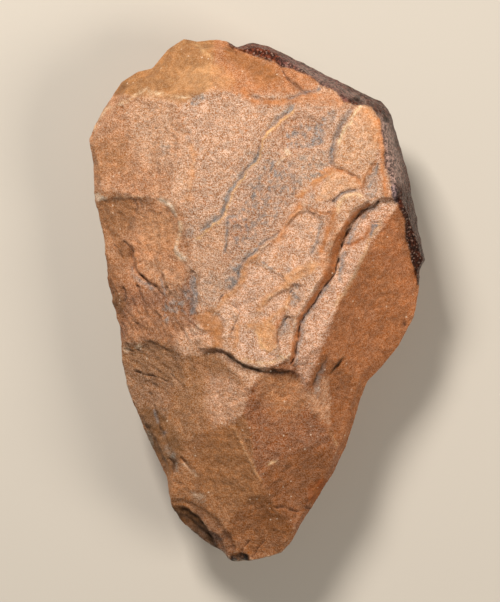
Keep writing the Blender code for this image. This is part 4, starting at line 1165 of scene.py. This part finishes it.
# The cobble's skin and what differs along it: its own colours, with painted sheen, highlight, glare and shade
# laid over them.
SKIN_COLOUR = "502415"
SKIN_COATS = (
    # Painted sheen on the top of the skin.
    Coat("painted sheen on the top of the skin", "7c524b", 0.8, 0.2, Patch((
        (276, 58, 3), (290, 58, 3), (340, 80, 3), (352, 96, 3), (344, 106, 3), (300, 82, 2),
        (282, 70, 2)))),
    # Painted highlight along the crest of the skin.
    Coat("painted highlight on the crest of the skin", "8d756c", 0.6, 0.2, Trace(1.2, (
        (296, 66), (312, 75), (328, 84), (342, 92), (356, 98), (368, 104)))),
    Coat("red start of the skin", "6a3320", 0.8, 0.2, Patch((
        (228, 40, 3), (262, 42, 3), (282, 54, 3), (278, 66, 3), (250, 58, 2), (232, 50, 2)))),
    # Painted glare on the side of the skin.
    Coat("painted glare on the side of the skin", "b0938a", 0.85, 0.2, Patch((
        (378, 118, 3), (388, 124, 3), (399, 160, 3), (403, 184, 3), (388, 188, 2), (382, 150, 2)))),
    Coat("lilac patch of the skin", "a08a8e", 0.85, 0.2, Patch((
        (388, 187, 1), (394, 187, 1), (395, 205, 1), (390, 205, 1)))),
    # The foot of the skin is darker, partly its own dark brown and partly painted shade.
    Coat("painted shade on the dark foot of the skin", "3a190b", 0.85, 0.2, Patch((
        (397, 190, 3), (420, 190, 3), (434, 290, 3), (416, 288, 2), (404, 240, 2)))),
)


@dataclass
class Plan:
    """The stone's outline seen from above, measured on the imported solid.

    middle: the point that the outline narrows about. reach: how far the outline lies from it, in
    equal steps round the compass.
    """

    middle: tuple[float, float] = (0.5, 11.0)
    reach: np.ndarray = field(default_factory=lambda: np.zeros(360))

    def measure(self, points: np.ndarray) -> None:
        """Takes the outline from the solid's own points.

        Args:
            points: places in millimetres.
        """
        away = points[:, :2] - self.middle
        turn = np.degrees(np.arctan2(away[:, 1], away[:, 0])) % 360
        self.reach = np.zeros(360)
        np.maximum.at(self.reach, turn.astype(int), np.hypot(*away.T))

    def spread(self, points: np.ndarray) -> np.ndarray:
        """Share of the way from the middle to the outline, 1 on the outline."""
        away = points[:, :2] - self.middle
        turn = np.degrees(np.arctan2(away[:, 1], away[:, 0])) % 360
        places = np.arange(-1, 361) + 0.5
        reach = np.concatenate((self.reach[-1:], self.reach, self.reach[:1]))
        return np.hypot(*away.T) / np.interp(turn, places, reach)

    def margin(self, points: np.ndarray) -> np.ndarray:
        """Millimetres from each point out to the outline."""
        away = np.hypot(*(points[:, :2] - self.middle).T)
        return away / np.maximum(self.spread(points), 1e-6) - away


@dataclass(frozen=True)
class Dome:
    """The rounded cobble on one side of its edge.

    height: full height from the edge in mm, negative for the back. profile: share of the outline
    that is left and share of the height reached, from the edge inwards.
    """

    height: float
    profile: tuple[tuple[float, float], ...]

    def level(self, spread: np.ndarray) -> np.ndarray:
        """Height above the ground at each share of the way to the outline."""
        shares, heights = zip(*((1.0, 0.0), *self.profile))
        return GROUND + self.height * np.interp(spread, shares[::-1], heights[::-1])


FRONT_DOME = Dome(25.0, ((0.985, 0.2), (0.96, 0.48), (0.93, 0.74), (0.9, 0.92), (0.875, 1.02), (0.75, 1.1)))
BACK_DOME = Dome(-28.7, ((0.985, 0.15), (0.95, 0.34), (0.89, 0.52), (0.79, 0.69), (0.64, 0.83),
                         (0.46, 0.925), (0.28, 0.975), (0.12, 0.995)))


@dataclass
class Ground:
    """What the front or the back of the stone is like at each point.

    height: where the surface lies. tint: its colour in linear light. grain: how coarse its grain
    shows. skin: 1 where the cobble's own skin is left. rough, waves: its broken ground and rings.
    """

    height: np.ndarray
    tint: np.ndarray
    grain: np.ndarray
    skin: np.ndarray
    rough: np.ndarray
    waves: np.ndarray


class Face:
    """One side of the stone, put together from its scars."""

    def __init__(self, plan: Plan, dome: Dome, scars: tuple[Scar, ...], front: bool) -> None:
        """Keeps what the side is made of.

        Args:
            plan: the outline of the stone.
            dome: the cobble's own surface on this side.
            scars: the flakes struck off it.
            front: True for the side that looks up.
        """
        self.plan = plan
        self.dome = dome
        self.scars = scars
        self.front = front

    @staticmethod
    def strayed(points: np.ndarray, sizes: tuple[tuple[float, float], ...], seed: int) -> np.ndarray:
        """Moves places about, so that ridges and edges don't run dead straight.

        Args:
            points: places in millimetres.
            sizes: pairs of the width of the bends and how far they stray.
            seed: picks another pattern.

        Returns:
            x and y of each place.
        """
        flat = np.column_stack((points[:, :2], np.zeros(len(points))))
        moved = points[:, :2].copy()
        for size, far in sizes:
            moved[:, 0] += far * rumble(flat, size, seed)
            moved[:, 1] += far * rumble(flat, size, seed + 7)
        return moved

    def ground(self, points: np.ndarray) -> Ground:
        """Works out the side at each point.

        Args:
            points: places in millimetres; only x and y count.

        Returns:
            Height, colour and texture of the side there.
        """
        spots = self.strayed(points, ((15.0, 1.2), (5.5, 0.55), (2.2, 0.22)), 11 if self.front else 41)
        fine = self.strayed(points, ((6.0, 0.6), (2.4, 0.35), (1.1, 0.15)), 21)
        sign = 1.0 if self.front else -1.0
        heights = [sign * scar.height(spots, self.front) for scar in self.scars]
        if self.front:
            heights[0] = heights[0] + sum(bed.lift(fine) for bed in BEDS)
        levels = np.array(heights)
        lowest = levels.min(axis=0)
        weight = np.exp(-(levels - lowest) / 0.22)
        weight /= weight.sum(axis=0)
        colours = np.array([linear(scar.colour) for scar in self.scars])
        tint = np.einsum("sn,sc->nc", weight, colours)
        grain = np.einsum("sn,s->n", weight, np.array([scar.speckle for scar in self.scars]))
        rough = np.einsum("sn,s->n", weight, np.array([scar.rough for scar in self.scars]))
        flat = np.column_stack((points[:, :2], np.zeros(len(points))))
        stray = 0.55 * rumble(flat, 19.0, 71) + 0.2 * rumble(flat, 7.0, 72)
        waves = sum(w * (scar.waves(points[:, :2], stray) + scar.streaks(points[:, :2]))
                    for w, scar in zip(weight, self.scars))
        spread = self.plan.spread(points)
        shell = sign * self.dome.level(spread)
        if self.front:
            lowest = np.minimum(lowest + sum(hollow.lift(fine) for hollow in HOLLOWS), shell + 0.3)
            skin = SKIN_PATCH.share(fine)
        else:
            skin = eased(lowest - shell, -0.25, 0.25)
            skin = skin * np.maximum(eased(self.plan.margin(points), 4.0, 7.0), SKIN_PATCH.share(spots))
        margin = np.maximum(self.plan.margin(points), 0.0)
        edge = sign * GROUND + 0.5 + 1.25 * margin + 1.2 * np.maximum(margin - 2.5, 0.0) ** 2
        both = np.minimum(lowest, shell) - 0.25 * np.exp(-np.abs(lowest - shell) / 0.5)
        cut = lowest if self.front else both
        cut = np.where(skin > 0.5, both, cut)
        thin = np.where(skin > 0.5, cut, np.minimum(cut, edge))
        return Ground(sign * thin, tint, grain, skin, rough, waves)


@dataclass(frozen=True)
class Quartzite:
    """The stone's finish. What the eye sees: grainy ochre and tan, dull, with blue-grey hollows,
    whitish worn ridges, and on the unstruck side a dark chocolate skin with a slight sheen.
    """

    hollow: str = "6c6f76"
    # Painted shade for the sharpest crevices.
    crevice_shade: str = "33241a"
    worn: str = "ecd8bd"
    ochre: str = "c07f44"
    pink: str = "dcae93"
    # Painted glints on the skin.
    skin_glint: str = "b89a8c"
    # Painted shade in the skin's crevices.
    skin_crevice_shade: str = "1d1512"

    def build(self) -> bpy.types.Material:
        """Makes the material.

        Returns:
            The material, named from the stone.
        """
        material = bpy.data.materials.new("Ochre quartzite")
        material.use_nodes = True
        tree = material.node_tree
        tree.nodes.clear()

        def add(kind: str, settings: dict | None = None, **links: object) -> bpy.types.Node:
            """Adds a node with its settings, and its inputs as values or as other nodes' outputs."""
            node = tree.nodes.new(kind)
            for name, value in (settings or {}).items():
                setattr(node, name, value)
            for name, value in links.items():
                socket = node.inputs[int(name[1:]) if name[1:].isdigit() else name.replace("_", " ")]
                if isinstance(value, bpy.types.NodeSocket):
                    tree.links.new(value, socket)
                else:
                    socket.default_value = value
            return node

        def paint(colour: str) -> tuple[float, float, float, float]:
            """A colour as a socket takes it."""
            return (*linear(colour), 1.0)

        def noise(size_mm: float, detail: float = 2.0, rough: float = 0.5) -> bpy.types.NodeSocket:
            """Noise whose bumps are size_mm across on the stone."""
            made = add("ShaderNodeTexNoise", None, Vector=place, Scale=1 / (size_mm * MM),
                       Detail=detail, Roughness=rough)
            return made.outputs["Fac"]

        def ramp(source: bpy.types.NodeSocket, low: float, high: float, start: float = 0.0,
                 end: float = 1.0) -> bpy.types.NodeSocket:
            """Stretches low..high of a value to start..end."""
            made = add("ShaderNodeMapRange", {"interpolation_type": "SMOOTHSTEP"}, Value=source,
                       From_Min=low, From_Max=high, To_Min=start, To_Max=end)
            return made.outputs["Result"]

        def times(a: object, b: object) -> bpy.types.NodeSocket:
            """Product of two values."""
            return add("ShaderNodeMath", {"operation": "MULTIPLY"}, _0=a, _1=b).outputs["Value"]

        def plus(a: object, b: object) -> bpy.types.NodeSocket:
            """Sum of two values."""
            return add("ShaderNodeMath", {"operation": "ADD"}, _0=a, _1=b).outputs["Value"]

        def blend(share: object, under: object, over: object, how: str = "MIX") -> bpy.types.NodeSocket:
            """Lays one colour over another."""
            made = add("ShaderNodeMix", {"data_type": "RGBA", "blend_type": how}, _0=share, _6=under, _7=over)
            return made.outputs[2]

        def grey(value: object) -> bpy.types.NodeSocket:
            """One value as a grey colour."""
            return add("ShaderNodeCombineColor", None, Red=value, Green=value, Blue=value).outputs["Color"]

        def mark(name: str) -> bpy.types.Node:
            """Reads one of the stone's own attributes."""
            return add("ShaderNodeAttribute", {"attribute_name": name})

        place = add("ShaderNodeTexCoord").outputs["Object"]
        grain = mark("grain").outputs["Fac"]
        skin = mark("skin").outputs["Fac"]
        crevice = mark("crevice").outputs["Fac"]
        wear = mark("wear").outputs["Fac"]

        # Patches a few millimetres to two centimetres wide, warmer, paler or pinker.
        stone = mark("tint").outputs["Color"]
        stone = blend(ramp(noise(13.0, 3.0), 0.52, 0.75, 0.0, 0.3), stone, paint(self.ochre))
        stone = blend(times(ramp(noise(8.0, 3.0), 0.58, 0.75, 0.0, 0.25), grain), stone, paint(self.pink))
        stone = blend(1.0, stone, grey(ramp(noise(5.0, 4.0, 0.6), 0.3, 0.7, 0.86, 1.14)), "MULTIPLY")

        # Sugary grain under a millimetre across: pale on top of each grain, rusty between them.
        sugar = plus(times(noise(0.28, 1.0), 0.6), times(noise(0.55, 1.0), 0.4))
        rusty = blend(1.0, stone, paint("ceaa7e"), "MULTIPLY")
        pale = blend(times(grain, 0.44), stone, paint("fff3ee"))
        grains = blend(ramp(sugar, 0.42, 0.58), rusty, pale)
        stone = blend(ramp(grain, 0.0, 1.0, 0.4, 1.0), stone, grains)
        clumps = ramp(noise(2.1, 2.0), 0.35, 0.65, 0.88, 1.12)
        stone = blend(1.0, stone, grey(clumps), "MULTIPLY")

        # A white grain here and there, which also stands for the sparkle of the crystals as a painted glint.
        dots = add("ShaderNodeTexVoronoi", {"feature": "F1"}, Vector=place, Scale=1 / (2.6 * MM))
        each = add("ShaderNodeSeparateColor", None, Color=dots.outputs["Color"])
        few = ramp(each.outputs["Red"], 0.72, 0.9)
        white = times(ramp(dots.outputs["Distance"], 0.10, 0.16, 1.0, 0.0), few)
        stone = blend(times(white, 0.55), stone, paint("f3e3cf"))

        # The hollows turn blue-grey, the sharpest crevices are darkened as painted shade, and wear has rubbed
        # the ridges pale.
        greyed_hollows = times(ramp(crevice, 0.25, 0.8), ramp(grain, 0.5, 0.8, 0.08, 0.55))
        stone = blend(times(greyed_hollows, ramp(noise(3.1, 2.0), 0.35, 0.6, 0.3, 1.0)), stone, paint(self.hollow))
        stone = blend(times(ramp(crevice, 0.6, 1.0), 0.5), stone, paint(self.crevice_shade))
        rubbed = times(ramp(wear, 0.3, 1.0), ramp(noise(2.2, 3.0), 0.4, 0.62, 0.1, 0.55))
        stone = blend(times(rubbed, ramp(grain, 0.05, 0.35, 0.3, 1.0)), stone, paint(self.worn))

        # The cobble's skin: brightened and darkened in a wrinkled pattern and flecked with pale specks as
        # painted glints, and darkened in its crevices as painted shade.
        wrinkles = plus(times(noise(1.3, 3.0, 0.65), 0.7), times(noise(0.6, 1.0), 0.3))
        glint_pattern = grey(ramp(wrinkles, 0.42, 0.60, 0.3, 1.6))
        bark = blend(1.0, mark("tint").outputs["Color"], glint_pattern, "MULTIPLY")
        bark = blend(times(ramp(noise(0.8, 1.0), 0.57, 0.67), 0.55), bark, paint(self.skin_glint))
        bark = blend(times(ramp(crevice, 0.2, 0.8), 0.7), bark, paint(self.skin_crevice_shade))
        colour = blend(skin, stone, bark)

        # Relief of the same grain, which lets each grain catch the light.
        height = plus(times(sugar, 0.8), times(noise(1.7, 3.0, 0.6), 2.0))
        strength = plus(ramp(grain, 0.0, 1.0, 0.35, 1.0), times(skin, 0.6))
        bump = add("ShaderNodeBump", None, Strength=strength, Distance=0.55 * MM, Height=height)
        rough = plus(times(skin, -0.27), ramp(noise(3.0, 2.0), 0.3, 0.7, 0.54, 0.68))
        shader = add("ShaderNodeBsdfPrincipled", None, Base_Color=colour, Roughness=rough,
                     Specular_IOR_Level=0.15, Normal=bump.outputs["Normal"])
        add("ShaderNodeOutputMaterial", None, Surface=shader.outputs["BSDF"])
        return material


class Stone:
    """The whole hand axe, one piece."""

    def __init__(self, node: bpy.types.Object) -> None:
        """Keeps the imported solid.

        Args:
            node: the solid as the frame holds it.
        """
        self.node = node
        self.plan = Plan()
        self.front = Face(self.plan, FRONT_DOME, (BED, *FRONT_SCARS), True)
        self.back = Face(self.plan, BACK_DOME, BACK_SCARS, False)

    @staticmethod
    def points_of(mesh: bpy.types.Mesh) -> np.ndarray:
        """Places of a mesh's vertices in millimetres."""
        flat = np.empty(len(mesh.vertices) * 3)
        mesh.vertices.foreach_get("co", flat)
        return flat.reshape(-1, 3) / MM

    @staticmethod
    def normals_of(mesh: bpy.types.Mesh) -> np.ndarray:
        """Directions in which a mesh's vertices look."""
        flat = np.empty(len(mesh.vertices) * 3)
        mesh.vertex_normals.foreach_get("vector", flat)
        return flat.reshape(-1, 3)

    @staticmethod
    def place(mesh: bpy.types.Mesh, points: np.ndarray) -> None:
        """Puts a mesh's vertices at places given in millimetres."""
        mesh.vertices.foreach_set("co", (points * MM).ravel())
        mesh.update()

    @staticmethod
    def modified(mesh: bpy.types.Mesh, kind: str, group: np.ndarray | None = None,
                 **settings: object) -> bpy.types.Mesh:
        """Runs one modifier over a mesh.

        Args:
            mesh: what it starts from; it is used up.
            kind: the modifier, such as "REMESH".
            group: numbers of the vertices that it may change, or None for all.
            settings: the modifier's settings.

        Returns:
            The mesh that comes out.
        """
        holder = bpy.data.objects.new("holder", mesh)
        bpy.context.scene.collection.objects.link(holder)
        modifier = holder.modifiers.new(kind, kind)
        if group is not None:
            holder.vertex_groups.new(name="changed").add(group.tolist(), 1.0, "REPLACE")
            modifier.vertex_group = "changed"
        for name, value in settings.items():
            setattr(modifier, name, value)
        graph = bpy.context.evaluated_depsgraph_get()
        made = bpy.data.meshes.new_from_object(holder.evaluated_get(graph))
        bpy.data.objects.remove(holder)
        bpy.data.meshes.remove(mesh)
        return made

    def merged(self) -> bpy.types.Mesh:
        """A copy of the solid's mesh with its corners joined."""
        work = bmesh.new()
        work.from_mesh(self.node.data)
        bmesh.ops.remove_doubles(work, verts=work.verts, dist=0.01 * MM)
        mesh = bpy.data.meshes.new("hand_axe_work")
        work.to_mesh(mesh)
        work.free()
        return mesh

    def upper(self, points: np.ndarray, normals: np.ndarray) -> np.ndarray:
        """Tells which points belong to the front face."""
        inner = (self.plan.margin(points) > 4.0) & (np.abs(normals[:, 2]) < 0.4)
        return np.where(inner, points[:, 2] > GROUND, normals[:, 2] > 0.0)

    def shape(self, mesh: bpy.types.Mesh) -> None:
        """Moves the surface to the beds, steps and scars of the two faces.

        Args:
            mesh: an even mesh of the solid.
        """
        points, normals = self.points_of(mesh), self.normals_of(mesh)
        upper = self.upper(points, normals)
        inner = eased(self.plan.margin(points), 2.5, 5.0)
        level = np.maximum(inner, eased(np.abs(normals[:, 2]), 0.30, 0.65))
        above, below = self.front.ground(points), self.back.ground(points)
        middle = (above.height + below.height) / 2
        least = 0.45 + 0.5 * np.clip(self.plan.margin(points), 0.0, 2.5)
        top = np.maximum(above.height, middle + least)
        bottom = np.minimum(below.height, middle - least)
        skin = np.where(upper, above.skin, below.skin)
        hold = 1 + (level - 1) * skin
        points[:, 2] += (np.where(upper, top, bottom) - points[:, 2]) * hold
        points[:, 2] = np.maximum(points[:, 2], 0.02)
        self.place(mesh, points)

    def roughen(self, mesh: bpy.types.Mesh) -> None:
        """Gives the surface its cracks, waves and broken ground, and notes ridges and hollows.

        Args:
            mesh: an even mesh that has been shaped.
        """
        points, normals = self.points_of(mesh), self.normals_of(mesh)
        upper = self.upper(points, normals)
        near, wide = self.hollowness(mesh, 5), self.hollowness(mesh, 60)
        ridge = np.clip(np.maximum(-near / 0.17, -wide / 1.2), 0.0, 1.0)
        crack = np.zeros(len(points))
        here = points[upper]
        fine = self.front.strayed(here, ((5.0, 0.5), (1.8, 0.3)), 22)
        flat = np.column_stack((here[:, :2], np.zeros(len(here))))
        uneven = np.clip(1.0 + 0.8 * rumble(flat, 3.4, 31) + 0.4 * rumble(flat, 1.6, 32), 0.35, 1.35)
        inland = eased(self.plan.margin(here), 0.0, 1.5)
        crack[upper] = uneven * sum(line.lift(fine) for line in CRACKS) * inland
        points[:, 2] += crack
        self.place(mesh, points)
        near = self.hollowness(mesh, 5)
        hollow = np.clip(np.maximum(np.maximum(near / 0.30, wide / 1.8), -crack / 1.1), 0.0, 1.0)
        for name, values in (("crevice", hollow), ("wear", ridge)):
            mesh.attributes.new(name, "FLOAT", "POINT").data.foreach_set("value", values)
        normals = self.normals_of(mesh)
        moved = points.copy()
        for face, mine in ((self.front, upper), (self.back, ~upper)):
            here, out = points[mine], normals[mine]
            ground = face.ground(here)
            broken = (0.9 * chipped(here, 4.6, 5) + 0.7 * chipped(here, 2.3, 6)
                      + 0.9 * rumble(here, 3.1, 7) + 0.5 * rumble(here, 1.5, 8))
            pebbly = 0.35 * rumble(here, 7.0, 9) + 0.22 * rumble(here, 3.2, 10) + 0.12 * rumble(here, 1.6, 12)
            lift = (1 - ground.skin) * (ground.rough * broken + ground.waves) + ground.skin * pebbly
            if face is self.back:
                lift = np.minimum(lift, 0.25)
            moved[mine] += out * lift[:, None]
        moved[:, 2] = np.maximum(moved[:, 2], 0.02)
        self.place(mesh, moved)

    @staticmethod
    def hollowness(mesh: bpy.types.Mesh, rounds: int) -> np.ndarray:
        """How far the surface lies below its surroundings, in millimetres.

        Args:
            mesh: the finished mesh.
            rounds: how many neighbours away the surroundings reach.

        Returns:
            A positive value in hollows and a negative one on ridges.
        """
        points, normals = Stone.points_of(mesh), Stone.normals_of(mesh)
        ends = np.empty(len(mesh.edges) * 2, dtype=np.int32)
        mesh.edges.foreach_get("vertices", ends)
        a, b = ends.reshape(-1, 2).T
        count = np.bincount(np.concatenate((a, b)), minlength=len(points))[:, None]
        smooth = points.copy()
        for _ in range(rounds):
            total = np.column_stack([
                np.bincount(a, smooth[b, axis], len(points)) + np.bincount(b, smooth[a, axis], len(points))
                for axis in range(3)])
            smooth = 0.5 * smooth + 0.5 * total / count
        return ((smooth - points) * normals).sum(axis=1)

    def colour(self, mesh: bpy.types.Mesh) -> None:
        """Writes the attributes that the finish reads.

        Args:
            mesh: the finished mesh.
        """
        points, normals = self.points_of(mesh), self.normals_of(mesh)
        upper = self.upper(points, normals)
        tint = np.ones((len(points), 4))
        grain, skin = np.zeros(len(points)), np.zeros(len(points))
        for face, mine in ((self.front, upper), (self.back, ~upper)):
            ground = face.ground(points[mine])
            shown, coarse = ground.tint, ground.grain
            if face is self.front:
                fine = face.strayed(points[mine], ((5.0, 0.6), (1.9, 0.45)), 23)
                flat = np.column_stack((points[mine, :2], np.zeros(int(mine.sum()))))
                patchy = np.clip(0.95 + 0.4 * rumble(flat, 2.8, 81) + 0.25 * rumble(flat, 1.3, 82), 0.4, 1.15)
                flecks = eased(0.7 * rumble(flat, 2.2, 83) + 0.7 * rumble(flat, 1.2, 84), -0.1, 0.3)
                for coat in COATS:
                    kept = 1 - coat.mottle * (1 - flecks)
                    share = np.minimum(coat.strength * patchy, 1.0) * kept * coat.where.share(fine)
                    shown = shown * (1 - share[:, None]) + share[:, None] * np.array(linear(coat.colour))
                    coarse = coarse * (1 - share) + share * coat.speckle
            bark = np.tile(linear(SKIN_COLOUR), (len(shown), 1))
            if face is self.front:
                for coat in SKIN_COATS:
                    share = (coat.strength * coat.where.share(fine))[:, None]
                    bark = bark * (1 - share) + share * np.array(linear(coat.colour))
            shown = shown * (1 - ground.skin[:, None]) + bark * ground.skin[:, None]
            tint[mine, :3], grain[mine], skin[mine] = shown, coarse, ground.skin
        mesh.color_attributes.new("tint", "FLOAT_COLOR", "POINT").data.foreach_set("color", tint.ravel())
        for name, values in (("grain", grain), ("skin", skin)):
            mesh.attributes.new(name, "FLOAT", "POINT").data.foreach_set("value", values)

    @staticmethod
    def triangles(mesh: bpy.types.Mesh) -> int:
        """How many triangles the faces of a mesh make; a face of four corners makes two."""
        return len(mesh.loops) - 2 * len(mesh.polygons)

    def thinned(self, mesh: bpy.types.Mesh) -> bpy.types.Mesh:
        """Thins the mesh to its limit, most of it on the back.

        Args:
            mesh: the even mesh.

        Returns:
            A mesh of under 200,000 triangles.
        """
        points, normals = self.points_of(mesh), self.normals_of(mesh)
        lower = np.nonzero(~self.upper(points, normals) & (points[:, 2] < GROUND - 1.5))[0]
        behind = 2 * len(lower) / self.triangles(mesh)
        mesh = self.modified(mesh, "DECIMATE", group=lower, ratio=1 - BACK_GIVES_UP * behind)
        return self.modified(mesh, "DECIMATE", ratio=min(1.0, MOST_TRIANGLES / self.triangles(mesh)))

    def build(self, material: bpy.types.Material) -> bpy.types.Object:
        """Makes the finished stone.

        Args:
            material: its finish.

        Returns:
            The piece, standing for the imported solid.
        """
        mesh = self.modified(self.merged(), "REMESH", mode="VOXEL", voxel_size=FIRST_CELL * MM)
        self.plan.measure(self.points_of(mesh))
        self.shape(mesh)
        mesh = self.modified(mesh, "REMESH", mode="VOXEL", voxel_size=FINE_CELL * MM)
        self.roughen(mesh)
        mesh = self.thinned(mesh)
        mesh.polygons.foreach_set("use_smooth", np.ones(len(mesh.polygons), dtype=bool))
        self.colour(mesh)
        mesh.materials.clear()
        mesh.materials.append(material)
        stone = bpy.data.objects.new("hand_axe_stone", mesh)
        bpy.context.scene.collection.objects.link(stone)
        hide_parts("hand_axe")
        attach(stone, "root")
        LOG.info("stone: %d triangles", self.triangles(mesh))
        return stone


@dataclass(frozen=True)
class Studio:
    """Floor, soft light and camera. The camera looks straight down, as in the photograph."""

    floor_colour: str = "cfcac2"
    middle: tuple[float, float] = (-2.68, -0.19)
    height: float = 1500.0
    seen_high: float = 230.14

    def lay_floor(self) -> bpy.types.Object:
        """A pale plain floor under the stone."""
        work = bmesh.new()
        bmesh.ops.create_grid(work, x_segments=1, y_segments=1, size=3.0)
        mesh = bpy.data.meshes.new("floor")
        work.to_mesh(mesh)
        work.free()
        material = bpy.data.materials.new("Pale matt board")
        material.use_nodes = True
        shader = material.node_tree.nodes["Principled BSDF"]
        shader.inputs["Base Color"].default_value = (*linear(self.floor_colour), 1.0)
        shader.inputs["Roughness"].default_value = 0.9
        mesh.materials.append(material)
        floor = bpy.data.objects.new("floor", mesh)
        bpy.context.scene.collection.objects.link(floor)
        return floor

    def hang_light(self, name: str, way: tuple[float, float, float], size: float, power: float,
                   colour: str) -> bpy.types.Object:
        """Hangs a soft square light that looks at the stone.

        Args:
            name: what the light is called.
            way: where it hangs, in metres.
            size: its side in metres.
            power: its power in watts.
            colour: its colour in sRGB hex.

        Returns:
            The light.
        """
        lamp = bpy.data.lights.new(name, "AREA")
        lamp.size = size
        lamp.energy = power
        lamp.color = linear(colour)
        light = bpy.data.objects.new(name, lamp)
        light.location = way
        light.rotation_euler = (Vector((0, 0, 0.03)) - Vector(way)).to_track_quat("-Z", "Y").to_euler()
        bpy.context.scene.collection.objects.link(light)
        return light

    def stand_camera(self) -> bpy.types.Object:
        """Puts the camera over the stone, so that the frame is as high as the photograph's."""
        data = bpy.data.cameras.new("camera")
        data.sensor_fit = "AUTO"
        data.sensor_width = 36.0
        data.lens = 18.0 / (self.seen_high / 2 / self.height)
        data.clip_start, data.clip_end = 0.05, 20.0
        camera = bpy.data.objects.new("camera", data)
        camera.location = (self.middle[0] * MM, self.middle[1] * MM, (GROUND + self.height) * MM)
        bpy.context.scene.collection.objects.link(camera)
        bpy.context.scene.camera = camera
        return camera

    def build(self) -> None:
        """Sets up floor, lights, surroundings and camera."""
        self.lay_floor()
        self.hang_light("key", (-0.36, 0.76, 0.86), 0.30, 15.5, "fff6ea")
        self.hang_light("fill", (1.0, -0.25, 0.9), 0.6, 9.5, "fff3e2")
        world = bpy.data.worlds.new("surroundings")
        world.use_nodes = True
        back = world.node_tree.nodes["Background"]
        back.inputs["Color"].default_value = (*linear("e6e4e2"), 1.0)
        back.inputs["Strength"].default_value = 0.14
        scene = bpy.context.scene
        scene.world = world
        scene.view_settings.view_transform = "Standard"
        self.stand_camera()
        LOG.info("studio: floor, two lights, camera")


def main() -> None:
    """Builds the stone and the studio."""
    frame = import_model()
    stone = Stone(frame["nodes"]["hand_axe"]).build(Quartzite().build())
    Studio().build()


if __name__ == "__main__":
    logging.basicConfig(level=logging.INFO, format="%(name)s: %(message)s")
    main()
